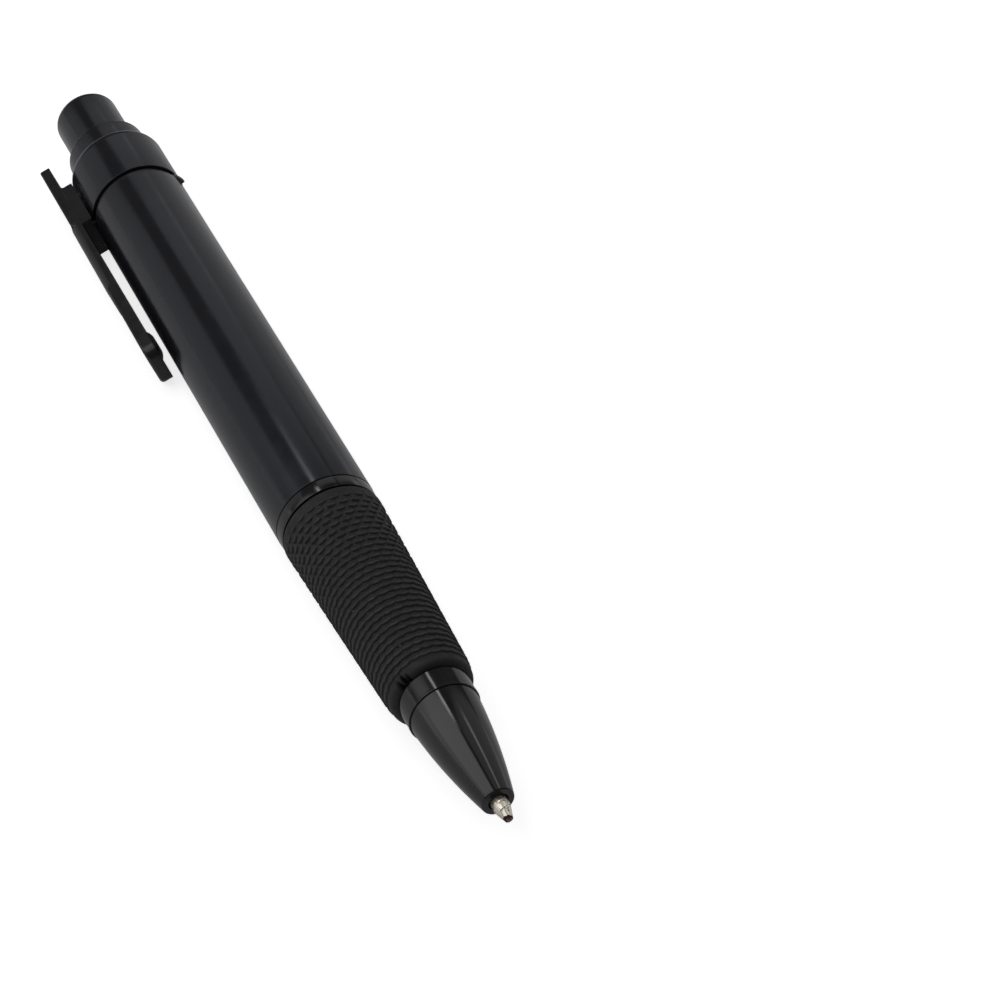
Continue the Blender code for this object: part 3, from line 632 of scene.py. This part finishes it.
def make_cap(finishes):
    """Stepped cap whose shoulder rises from the neck in a quarter of an ellipse."""
    shoulder = cap_rear + NECK_LENGTH
    rise = CAP_RADIUS - NECK_RADIUS
    curve = []
    for step in range(SHOULDER_STEPS + 1):
        angle = pi / 2 * step / SHOULDER_STEPS
        curve.append((shoulder + SHOULDER_LENGTH * (1 - cos(angle)), NECK_RADIUS + rise * sin(angle)))
    corners = [
        (cap_rear, CAP_BORE, 0.0),
        (cap_rear, NECK_RADIUS, NECK_ROUND),
        *plain(curve),
        (cap_front, CAP_RADIUS, EDGE),
        (cap_front, SPIGOT_RADIUS, 0.0),
        (spigot_end, SPIGOT_RADIUS, EDGE),
        (spigot_end, CAP_BORE, 0.0),
    ]
    cap = turned("stepped_cap", corners, SHELL_STEPS, finishes["satin_black"])
    dress(cap, "pen_body", "satin_black", "top_cap")


def make_button(finishes):
    """Hollow push button with a rounded rear end."""
    inner = button_rear + BUTTON_END_WALL
    corners = [
        (button_rear, 0.0, 0.0),
        (button_rear, BUTTON_RADIUS, BUTTON_ROUND),
        (button_front, BUTTON_RADIUS, EDGE),
        (button_front, BUTTON_RADIUS - BUTTON_WALL, 0.0),
        (inner, BUTTON_RADIUS - BUTTON_WALL, 0.0),
        (inner, 0.0, 0.0),
    ]
    button = turned("thumb_button", corners, SHELL_STEPS, finishes["satin_black"])
    dress(button, "button", "satin_black", "push_button")


def make_front_section(finishes):
    """Band, core and collar in one glossy moulding."""
    band_rear = band_front - BAND_LENGTH
    lip = collar_front - COLLAR_LIP_LENGTH
    socket = nose_spigot_rear - SEAM
    corners = [
        (front_rear, FRONT_BORE, 0.0),
        (front_rear, FRONT_SPIGOT_RADIUS, EDGE),
        (band_rear, FRONT_SPIGOT_RADIUS, 0.0),
        (band_rear, BAND_RADIUS, EDGE),
        (band_front, BAND_FRONT_RADIUS, EDGE),
        (band_front, CORE_REAR_RADIUS, 0.0),
        (collar_rear, CORE_FRONT_RADIUS, 0.0),
        (collar_rear, COLLAR_REAR_RADIUS, 0.0),
        (lip, COLLAR_RADIUS, 0.0),
        (lip, COLLAR_RADIUS + COLLAR_LIP, 0.0),
        (collar_front, COLLAR_RADIUS + COLLAR_LIP, EDGE),
        (collar_front, NOSE_SOCKET, 0.0),
        (socket, NOSE_SOCKET, 0.0),
        (socket, FRONT_BORE, 0.0),
    ]
    section = turned("front_moulding", corners, SHELL_STEPS, finishes["gloss_black"])
    dress(section, "pen_body", "gloss_black", "front_section")


def make_nose(finishes):
    """Nose whose outside curves in ever faster towards a flat end with a hole."""
    rear = collar_front + TOUCH
    length = nose_front - rear
    seat = spring_front + SEAM
    bend = (NOSE_RADIUS - NOSE_END_RADIUS - NOSE_SLOPE * length) / length ** 2
    curve = []
    for step in range(NOSE_STEPS):
        x = length * step / NOSE_STEPS
        curve.append((rear + x, NOSE_RADIUS - NOSE_SLOPE * x - bend * x ** 2))
    corners = [
        (nose_spigot_rear, FRONT_BORE, 0.0),
        (nose_spigot_rear, NOSE_SPIGOT_RADIUS, EDGE),
        (rear, NOSE_SPIGOT_RADIUS, 0.0),
        *plain(curve),
        (nose_front, NOSE_END_RADIUS, NOSE_END_ROUND),
        (nose_front, NOSE_HOLE, 0.0),
        (seat, NOSE_HOLE, 0.0),
        (seat, FRONT_BORE, 0.0),
    ]
    nose = turned("glossy_nose", corners, SHELL_STEPS, finishes["gloss_black"])
    dress(nose, "pen_body", "gloss_black", "nose_cone")


def make_point(finishes):
    """Turned point of the refill, and the ball crimped in its rim."""
    shank_end = point_rear + POINT_SHANK
    shoulder_end = shank_end + POINT_SHOULDER_LENGTH
    cone_rear = point_front - POINT_CONE
    seat = tip - BALL_RADIUS - SEAT_RADIUS
    corners = [
        (point_rear, POINT_CHANNEL, 0.0),
        (point_rear, POINT_SHANK_RADIUS, 0.0),
        (shank_end, POINT_SHANK_RADIUS, 0.0),
        (shank_end, POINT_SHOULDER, 0.0),
        (shoulder_end, POINT_SHOULDER, 0.0),
        (shoulder_end, POINT_RADIUS, 0.0),
        (cone_rear, POINT_RADIUS, EDGE),
        (point_front, RIM_RADIUS, 0.0),
        (point_front, SEAT_RADIUS, 0.0),
        (seat, SEAT_RADIUS, 0.0),
        (seat, POINT_CHANNEL, 0.0),
    ]
    point = turned("nickel_point", corners, POINT_STEPS, finishes["nickel"])
    dress(point, "refill", "nickel", "refill_point")

    bm = bmesh.new()
    rows = POINT_STEPS // 2
    bmesh.ops.create_uvsphere(bm, u_segments=POINT_STEPS, v_segments=rows, radius=BALL_RADIUS)
    bmesh.ops.translate(bm, verts=bm.verts, vec=(tip - BALL_RADIUS, 0.0, 0.0))
    ball = add_piece("point_ball", close_mesh(bm, "point_ball"), finishes["inked_steel"])
    dress(ball, "ball", "steel", "writing_ball")


def scale_tree():
    """Geometry Nodes that press staggered rows of lifted scales into a sleeve about the X axis."""
    numbers = (
        "Row Pitch", "First Row", "Last Row", "Columns", "Lift", "Bow",
        "Slit Depth", "Slit Width", "Rear Slit", "Front Slit",
    )
    tree = new_tree("rubber_scales", numbers)
    graph = Graph(tree)
    given = graph.node("NodeGroupInput").outputs
    position = graph.node("GeometryNodeInputPosition").outputs[0]
    x, y, z = graph.node("ShaderNodeSeparateXYZ", {0: position}).outputs
    marks = graph.node("GeometryNodeInputNamedAttribute", {"Name": "skin"}, data_type="FLOAT")
    skin = marks.outputs["Attribute"]
    y_squared = graph.math("MULTIPLY", y, y)
    z_squared = graph.math("MULTIPLY", z, z)
    radius = graph.math("SQRT", graph.math("ADD", y_squared, z_squared))
    turn = graph.math("DIVIDE", graph.math("ARCTAN2", z, y), 2 * pi)
    columns = graph.math("MULTIPLY", turn, given["Columns"])
    row = graph.math("DIVIDE", graph.math("SUBTRACT", x, given["First Row"]), given["Row Pitch"])
    run = graph.math("SUBTRACT", given["Last Row"], given["First Row"])
    share = graph.math("DIVIDE", graph.math("SUBTRACT", x, given["First Row"]), run)
    slit = graph.ramp(share, 0.0, SLIT_GROWTH, given["Rear Slit"], given["Front Slit"])
    fade_in = graph.ramp(share, 0.0, SCALES_FULL_FROM)
    fade_out = graph.ramp(share, SCALES_FULL_TO, 1.0, 1.0, 0.0)
    fade = graph.math("MULTIPLY", fade_in, fade_out)
    two_rows = graph.math("MULTIPLY", given["Row Pitch"], 2.0)
    slit_share = graph.math("DIVIDE", given["Slit Width"], two_rows)
    total = 0.0
    dark = 0.0
    crest_highlight = 0.0
    for parity in (0, 1):
        column = graph.math("FRACT", graph.math("ADD", columns, parity / 2))
        off_middle = graph.math("ABSOLUTE", graph.math("SUBTRACT", column, 0.5))
        aside = graph.math("MULTIPLY", off_middle, 2.0)
        bow = graph.math("MULTIPLY", graph.math("MULTIPLY", aside, aside), given["Bow"])
        along = graph.math("ADD", graph.math("ADD", row, bow), parity)
        saw = graph.math("WRAP", graph.math("DIVIDE", along, 2.0), 1.0, 0.0)
        inside = graph.math("SUBTRACT", slit, SLIT_SOFT_INSIDE)
        outside = graph.math("ADD", slit, SLIT_SOFT_OUTSIDE)
        window = graph.ramp(aside, inside, outside, 1.0, 0.0)
        rise = graph.math("MULTIPLY", graph.math("MULTIPLY", saw, saw), given["Lift"])
        slot = graph.math("MULTIPLY", graph.ramp(saw, 0.0, slit_share, 1.0, 0.0), window)
        groove = graph.math("MULTIPLY", slot, given["Slit Depth"])
        one = graph.math("SUBTRACT", graph.math("MULTIPLY", rise, window), groove)
        total = graph.math("ADD", total, one)
        # Where the slits lie, for the painted shade in them
        dark = graph.math("MAXIMUM", dark, slot)
        # Crests of the scales, for the painted highlight on them
        crest = graph.math("MULTIPLY", graph.ramp(saw, CREST_HIGHLIGHT_FROM, CREST_HIGHLIGHT_FULLY), window)
        crest_highlight = graph.math("MAXIMUM", crest_highlight, crest)
    pressed = graph.math("MULTIPLY", fade, skin)
    outward = graph.math("DIVIDE", graph.math("MULTIPLY", total, pressed), radius)
    offset = graph.node("ShaderNodeCombineXYZ", {
        "Y": graph.math("MULTIPLY", y, outward),
        "Z": graph.math("MULTIPLY", z, outward),
    })
    # Store the masks for the rubber's painted shade in the slits and painted highlight on the crests
    marked = given["Geometry"]
    for name, value in (("slit", dark), ("crest_highlight", crest_highlight)):
        kept = {"Geometry": marked, "Name": name, "Value": graph.math("MULTIPLY", value, pressed)}
        stored = graph.node("GeometryNodeStoreNamedAttribute", kept, data_type="FLOAT", domain="POINT")
        marked = stored.outputs[0]
    moved = graph.node("GeometryNodeSetPosition", {"Geometry": marked, "Offset": offset.outputs[0]})
    finish_tree(graph, moved.outputs[0], given["Finish"])
    return tree


def grip_stations(length):
    """Stations along the grip, closest together where a row of slits is pressed."""
    rows = int((length - SCALE_FIRST - SCALE_MARGIN) / SCALE_PITCH)
    last = SCALE_FIRST + rows * SCALE_PITCH
    stations = [SCALE_FIRST * step / RIM_POINTS for step in range(RIM_POINTS)]
    for row in range(rows):
        stations += [SCALE_FIRST + (row + share) * SCALE_PITCH for share in ROW_SHARES]
    for step in range(END_POINTS + 1):
        stations.append(last + (length - last) * sin(pi / 2 * step / END_POINTS))
    return stations


def grip_radius(x, length):
    """Outer radius of the plain sleeve: a groove and a proud lip at the rear, a rounded front end."""
    lip_side = GRIP_LIP_STATION if x < GRIP_LIP_STATION else GRIP_LIP_LENGTH - GRIP_LIP_STATION
    lip = max(0.0, 1 - ((x - GRIP_LIP_STATION) / lip_side) ** 2) * GRIP_LIP
    taper = (GRIP_REAR_RADIUS - GRIP_FRONT_RADIUS) * x / length
    groove = corner_drop(x, GROOVE_LENGTH)
    return GRIP_REAR_RADIUS - taper + lip - groove - corner_drop(length - x, GRIP_END_ROUND)


def tear_rim(bm):
    """Tear a few nicks out of the sleeve's front rim."""
    for vert in bm.verts:
        ahead = clamped((vert.co.x - grip_front) / NICK_REACH + 1)
        angle = atan2(vert.co.z, vert.co.y)
        for middle, half, depth in NICKS:
            vert.co.x -= depth * ahead * clamped(1 - abs(angle - middle) / half)


def make_grip(finishes):
    """Rubber sleeve with a proud rear lip, a rounded front end and staggered scales."""
    length = grip_front - grip_rear
    taper = (GRIP_REAR_RADIUS - GRIP_FRONT_RADIUS) / length
    wall = GRIP_FRONT_RADIUS - CORE_FRONT_RADIUS - SEAM
    outer = [(grip_rear + x, grip_radius(x, length)) for x in grip_stations(length)]
    corners = [
        (grip_rear, GRIP_REAR_RADIUS - wall, 0.0),
        *plain(outer),
        (grip_front, GRIP_FRONT_RADIUS - wall, 0.0),
    ]
    bm = bmesh.new()
    spin(bm, corners, SCALE_COLUMNS * COLUMN_POINTS)
    tear_rim(bm)
    mesh = close_mesh(bm, "grip_blank", sharp_angle=180.0)
    skin = mesh.attributes.new("skin", "FLOAT", "POINT")
    for vert, mark in zip(mesh.vertices, skin.data):
        depth = hypot_yz(vert.co) - (GRIP_REAR_RADIUS - wall - taper * (vert.co.x - grip_rear))
        mark.value = 1.0 if depth > SEAM else 0.0
    settings = {
        "Row Pitch": SCALE_PITCH,
        "First Row": grip_rear + SCALE_FIRST,
        "Last Row": grip_front - SCALE_MARGIN,
        "Columns": float(SCALE_COLUMNS),
        "Lift": SCALE_LIFT,
        "Bow": SCALE_BOW,
        "Slit Depth": SLIT_DEPTH,
        "Slit Width": SLIT_WIDTH,
        "Rear Slit": SLIT_REAR,
        "Front Slit": SLIT_FRONT,
        "Finish": finishes["rubber_black"],
    }
    scaled = shaped_by(scale_tree(), "scaled_grip", mesh, settings)
    scaled.attributes.remove(scaled.attributes["skin"])
    grip = add_piece("scaled_grip", scaled, finishes["rubber_black"])
    dress(grip, "pen_body", "rubber_black", "grip_sleeve")


def spring_tree():
    """Geometry Nodes that wind a round wire into a coil along the X axis."""
    tree = new_tree("wound_spring", ("Radius", "Wire", "Length", "Turns", "Start"))
    graph = Graph(tree)
    given = graph.node("NodeGroupInput").outputs
    spiral = graph.node("GeometryNodeCurveSpiral", {
        "Resolution": SPRING_TURN_POINTS,
        "Rotations": given["Turns"],
        "Start Radius": given["Radius"],
        "End Radius": given["Radius"],
        "Height": given["Length"],
    })
    wire = graph.node("GeometryNodeCurvePrimitiveCircle", {
        "Resolution": SPRING_WIRE_POINTS,
        "Radius": given["Wire"],
    })
    coil = graph.node("GeometryNodeCurveToMesh", {
        "Curve": spiral.outputs[0],
        "Profile Curve": wire.outputs[0],
        "Fill Caps": True,
    })
    start = graph.node("ShaderNodeCombineXYZ", {"X": given["Start"]})
    laid = graph.node("GeometryNodeTransform", {
        "Geometry": coil.outputs[0],
        "Translation": start.outputs[0],
        "Rotation": (0.0, pi / 2, 0.0),
    })
    finish_tree(graph, laid.outputs[0], given["Finish"])
    return tree


def make_spring(finishes):
    """Return spring that stretches between its seat in the nose and the refill's stop."""
    low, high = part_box("return_spring")
    settings = {
        "Radius": (high.z - low.z) / 2 - SPRING_WIRE,
        "Wire": SPRING_WIRE,
        "Length": spring_front - spring_rear - 2 * SPRING_WIRE,
        "Turns": float(SPRING_TURNS),
        "Start": spring_rear + SPRING_WIRE,
        "Finish": finishes["steel"],
    }
    mesh = shaped_by(spring_tree(), "coil_spring", bpy.data.meshes.new("coil_blank"), settings)
    mesh.shade_smooth()
    spring = add_piece("coil_spring", mesh, finishes["steel"])
    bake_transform(spring)
    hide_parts("return_spring")


def loft(bm, sections):
    """Skin closed rings of points, one after the other, and cap both ends."""
    rings = [[bm.verts.new(point) for point in section] for section in sections]
    for one, two in zip(rings, rings[1:]):
        for index in range(len(one)):
            after = (index + 1) % len(one)
            bm.faces.new((one[index], one[after], two[after], two[index]))
    bm.faces.new(rings[0])
    bm.faces.new(rings[-1])


def clip_faces(x):
    """Radii of the clip's inner and outer face, without the pad: the arm thickens towards its end."""
    share = max(0.0, (x - ARM_REAR) / (CLIP_FRONT - ARM_REAR))
    return CLIP_INNER - CLIP_SWELL_INNER * share, CLIP_OUTER + CLIP_SWELL_OUTER * share


def edge_levels(x, face, outward, rounding):
    """Half widths and radii up the bar's rounded edge, from its flat side to an inner or outer face."""
    ahead = CLIP_FRONT - x
    steepest = pi / 2 if ahead >= rounding else acos((rounding - ahead) / rounding)
    levels = []
    for step in range(EDGE_STEPS + 1):
        angle = steepest * step / EDGE_STEPS
        inset = rounding * (1 - cos(angle))
        half = CLIP_WIDTH / 2 - inset - corner_drop(ahead - inset, CLIP_END_ROUND - inset)
        levels.append((half, face - outward * rounding * (1 - sin(angle))))
    return levels


def bar_section(x):
    """Ring of points round the clip's bar at a station: the pad is proud, with well rounded edges."""
    inner, outer = clip_faces(x)
    drop = corner_drop(x - CLIP_REAR, CLIP_EDGE)
    pad = clamped(min(x - PAD_REAR, PAD_FRONT - x) / PAD_RAMP)
    nose = clamped((x - CLIP_FRONT + CLIP_NOSE_LENGTH) / (CLIP_NOSE_LENGTH - CLIP_NOSE_ROUND))
    rounding = CLIP_EDGE + (PAD_ROUND - CLIP_EDGE) * pad + (CLIP_NOSE_ROUND - CLIP_EDGE) * nose
    high = edge_levels(x, outer + PAD_HEIGHT * pad - drop, 1, rounding)
    low = edge_levels(x, inner + drop, -1, CLIP_INNER_EDGE)
    side = low[::-1] + high
    points = [(x, -radius, half - drop) for half, radius in side]
    return points + [(x, -radius, drop - half) for half, radius in side[::-1]]


def add_clip_bar(bm):
    """Tab, pad and arm in one bar, with rounded ends."""
    stations = [PAD_REAR, PAD_REAR + PAD_RAMP, PAD_FRONT - PAD_RAMP, PAD_FRONT]
    for step in range(ARC_STEPS):
        stations.append(CLIP_REAR + CLIP_EDGE * (1 - cos(pi / 2 * step / ARC_STEPS)))
    straight = CLIP_FRONT - CLIP_END_ROUND - CLIP_REAR - CLIP_EDGE
    for step in range(CLIP_STEPS):
        stations.append(CLIP_REAR + CLIP_EDGE + straight * step / CLIP_STEPS)
    for step in range(CLIP_END_STEPS + 1):
        stations.append(CLIP_FRONT - CLIP_END_ROUND * (1 - sin(pi / 2 * step / CLIP_END_STEPS)))
    loft(bm, [bar_section(x) for x in sorted(stations)])


def post_section(across):
    """Outline of the post along the pen, between the bar and a foot that stands off the cap."""
    foot = sqrt((CAP_RADIUS + POST_STANDOFF) ** 2 - across ** 2)
    middle = (CLIP_INNER + CLIP_OUTER) / 2
    fillet_rear = POST_REAR - POST_FILLET
    corners = [
        (POST_FRONT, middle, 0.0),
        (fillet_rear, middle, 0.0),
        (fillet_rear, CLIP_INNER, 0.0),
        (POST_REAR, CLIP_INNER, POST_FILLET),
        (POST_REAR, foot, EDGE),
        (POST_FRONT, foot, 0.0),
    ]
    return [(x, -radius, across) for x, radius in filleted(corners)]


def leg_section(across):
    """Outline of the leg that joins the front of the post to the ring."""
    root = sqrt((RING_RADIUS - SEAM) ** 2 - across ** 2)
    low, high = -RING_HALF + EDGE, POST_FRONT - EDGE
    corners = ((low, root), (high, root), (high, CLIP_INNER), (low, CLIP_INNER))
    return [(x, -radius, across) for x, radius in corners]


def add_clip_post(bm):
    """Post between the bar and the ring, over the cap."""
    for section, inset in ((post_section, POST_INSET), (leg_section, LEG_INSET)):
        width = CLIP_WIDTH - 2 * inset
        loft(bm, [section(width * (step / POST_STEPS - 0.5)) for step in range(POST_STEPS + 1)])


def add_clip_nub(bm):
    """Rounded bump across the inside of the arm, near its end."""
    inner = clip_faces(NUB_STATION)[0]
    outline = []
    for step in range(NUB_STEPS + 1):
        along = 2 * step / NUB_STEPS - 1
        outline.append((NUB_STATION + along * NUB_LENGTH / 2, inner - NUB_HEIGHT * (1 - along ** 2)))
    outline.append((NUB_STATION + NUB_LENGTH / 2, inner + CLIP_EDGE))
    outline.append((NUB_STATION - NUB_LENGTH / 2, inner + CLIP_EDGE))
    loft(bm, [[(x, -radius, side * NUB_WIDTH / 2) for x, radius in outline] for side in (-1, 1)])


def add_clip_ring(bm):
    """Thin ring sunk between cap and barrel, with a low ear on the far side from the clip."""
    corners = [
        (-RING_HALF, BARREL_SOCKET, 0.0),
        (-RING_HALF, RING_RADIUS, RING_EDGE),
        (RING_HALF, RING_RADIUS, RING_EDGE),
        (RING_HALF, BARREL_SOCKET, 0.0),
    ]
    spin(bm, corners, RING_STEPS)
    for vert in bm.verts:
        radius = hypot_yz(vert.co)
        angle = atan2(vert.co.z, vert.co.y)
        if radius > BARREL_SOCKET + SEAM and EAR_START < angle < EAR_END:
            rise = (EAR_RADIUS - EAR_LOW_RADIUS) * (EAR_END - angle) / (EAR_END - EAR_START)
            vert.co.yz *= (radius - RING_RADIUS + EAR_LOW_RADIUS + rise) / radius


def make_clip(finishes):
    """One springy moulding: ring, ear, post, tab, arm, pad and nub."""
    bm = bmesh.new()
    add_clip_ring(bm)
    add_clip_post(bm)
    add_clip_bar(bm)
    add_clip_nub(bm)
    clip = add_piece("pocket_clip", close_mesh(bm, "pocket_clip"), finishes["clip_black"])
    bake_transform(clip)
    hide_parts("clip_ring", "clip_arm")


def finish_inner_pieces(finishes):
    """Give the solids inside the pen their finishes."""
    slots = {part["node"]: part["material_slot"] for part in frame["record"]["subparts"]}
    for name, node in frame["nodes"].items():
        if not node.hide_render:
            node.data.materials.clear()
            node.data.materials.append(finishes[slots[name]])


def make_floor():
    """Plain table, white to the camera, that keeps a soft shadow of the pen."""
    mat, shader, graph, place = new_finish("pale_table")
    tint = noise(graph, place, TABLE_TINT, detail=2.0)
    graph.feed(shader.inputs["Base Color"], blend_colours(graph, tint, TABLE_DARK, TABLE_LIGHT))
    shader.inputs["Roughness"].default_value = TABLE_ROUGHNESS
    shader.inputs["Emission Color"].default_value = (1.0, 1.0, 1.0, 1.0)
    ray = graph.node("ShaderNodeLightPath").outputs
    seen = graph.math("MULTIPLY", ray["Is Camera Ray"], TABLE_GLOW)
    mirrored = graph.math("MULTIPLY", ray["Is Glossy Ray"], TABLE_SHEEN)
    graph.feed(shader.inputs["Emission Strength"], graph.math("ADD", seen, mirrored))
    mesh = bpy.data.meshes.new("table")
    bm = bmesh.new()
    bmesh.ops.create_grid(bm, x_segments=1, y_segments=1, size=TABLE_SIZE)
    bm.to_mesh(mesh)
    bm.free()
    mesh.materials.append(mat)
    table = bpy.data.objects.new("table", mesh)
    bpy.context.scene.collection.objects.link(table)


def add_softbox(name, lean, turn, radiance):
    """A softbox that fills a window of directions seen from the pen.

    The window lies between two leans away from the pen's rear end, and two turns round the pen
    from its upper side, all in degrees.
    """
    tilt = radians(sum(lean) / 2)
    swing = radians(sum(turn) / 2)
    outward = Vector((-cos(tilt), sin(tilt) * sin(swing), sin(tilt) * cos(swing)))
    side = Vector((0.0, cos(swing), -sin(swing)))
    facing = Matrix((side, outward.cross(side), outward)).transposed().to_4x4()
    light = bpy.data.lights.new(name, "AREA")
    light.shape = "RECTANGLE"
    light.size = 2 * SOFTBOX_DISTANCE * tan(radians(turn[1] - turn[0]) * sin(tilt) / 2)
    light.size_y = 2 * SOFTBOX_DISTANCE * tan(radians(lean[1] - lean[0]) / 2)
    light.energy = radiance * pi * light.size * light.size_y
    lamp = bpy.data.objects.new(name, light)
    pen_half = Vector(((button_rear + tip) / 2, 0.0, 0.0))
    lamp.matrix_world = PEN @ Matrix.Translation(pen_half + outward * SOFTBOX_DISTANCE) @ facing
    lamp.visible_camera = False
    bpy.context.scene.collection.objects.link(lamp)


def make_light():
    """Dim even room, softboxes round the pen, and two strips that streak its glossy front end."""
    world = bpy.data.worlds.new("studio")
    world.use_nodes = True
    world.node_tree.nodes["Background"].inputs["Color"].default_value = (*ROOM_COLOUR, 1.0)
    world.node_tree.nodes["Background"].inputs["Strength"].default_value = ROOM_LIGHT
    bpy.context.scene.world = world
    add_softbox("rear_left_softbox", lean=(32.0, 52.0), turn=(-70.0, -18.0), radiance=0.35)
    add_softbox("rear_right_softbox", lean=(32.0, 52.0), turn=(17.0, 60.0), radiance=0.46)
    add_softbox("right_softbox", lean=(32.0, 52.0), turn=(58.5, 112.0), radiance=0.36)
    add_softbox("front_right_softbox", lean=(60.0, 95.0), turn=(21.0, 112.0), radiance=0.36)
    add_softbox("low_right_softbox", lean=(50.0, 92.0), turn=(96.0, 122.0), radiance=0.34)
    add_softbox("left_softbox", lean=(50.0, 84.0), turn=(-105.0, -60.0), radiance=0.50)
    add_softbox("top_softbox", lean=(54.0, 86.0), turn=(-60.0, 11.0), radiance=0.85)
    add_softbox("top_middle_softbox", lean=(59.0, 88.0), turn=(-46.0, 9.0), radiance=0.45)
    add_softbox("front_softbox", lean=(87.0, 108.0), turn=(-28.0, 12.0), radiance=0.90)
    add_softbox("left_strip", lean=(52.0, 67.0), turn=(11.0, 17.0), radiance=4.5)
    add_softbox("right_strip", lean=(66.0, 90.0), turn=(44.5, 50.5), radiance=1.7)


def make_camera():
    """Camera as in the photograph, level apart from a small roll."""
    flat = cos(CAMERA_ELEVATION)
    back = Vector((sin(CAMERA_AZIMUTH) * flat, -cos(CAMERA_AZIMUTH) * flat, sin(CAMERA_ELEVATION)))
    lens = bpy.data.cameras.new("photo_camera")
    lens.lens = CAMERA_LENS
    lens.sensor_width = CAMERA_SENSOR
    lens.clip_start = CAMERA_NEAR
    lens.clip_end = CAMERA_FAR
    camera = bpy.data.objects.new("photo_camera", lens)
    camera.location = CAMERA_AIM + back * CAMERA_DISTANCE
    camera.rotation_mode = "QUATERNION"
    level = (-back).to_track_quat("-Z", "Y")
    camera.rotation_quaternion = level @ Quaternion((0.0, 0.0, 1.0), CAMERA_ROLL)
    bpy.context.scene.collection.objects.link(camera)
    bpy.context.scene.camera = camera


def main():
    """Dress the pen, light it and set up the camera."""
    bpy.context.scene.view_settings.view_transform = "Standard"
    finishes = make_finishes()
    make_barrel(finishes)
    make_cap(finishes)
    make_button(finishes)
    make_clip(finishes)
    make_front_section(finishes)
    make_grip(finishes)
    make_nose(finishes)
    make_point(finishes)
    make_spring(finishes)
    finish_inner_pieces(finishes)
    make_floor()
    make_light()
    make_camera()


main()
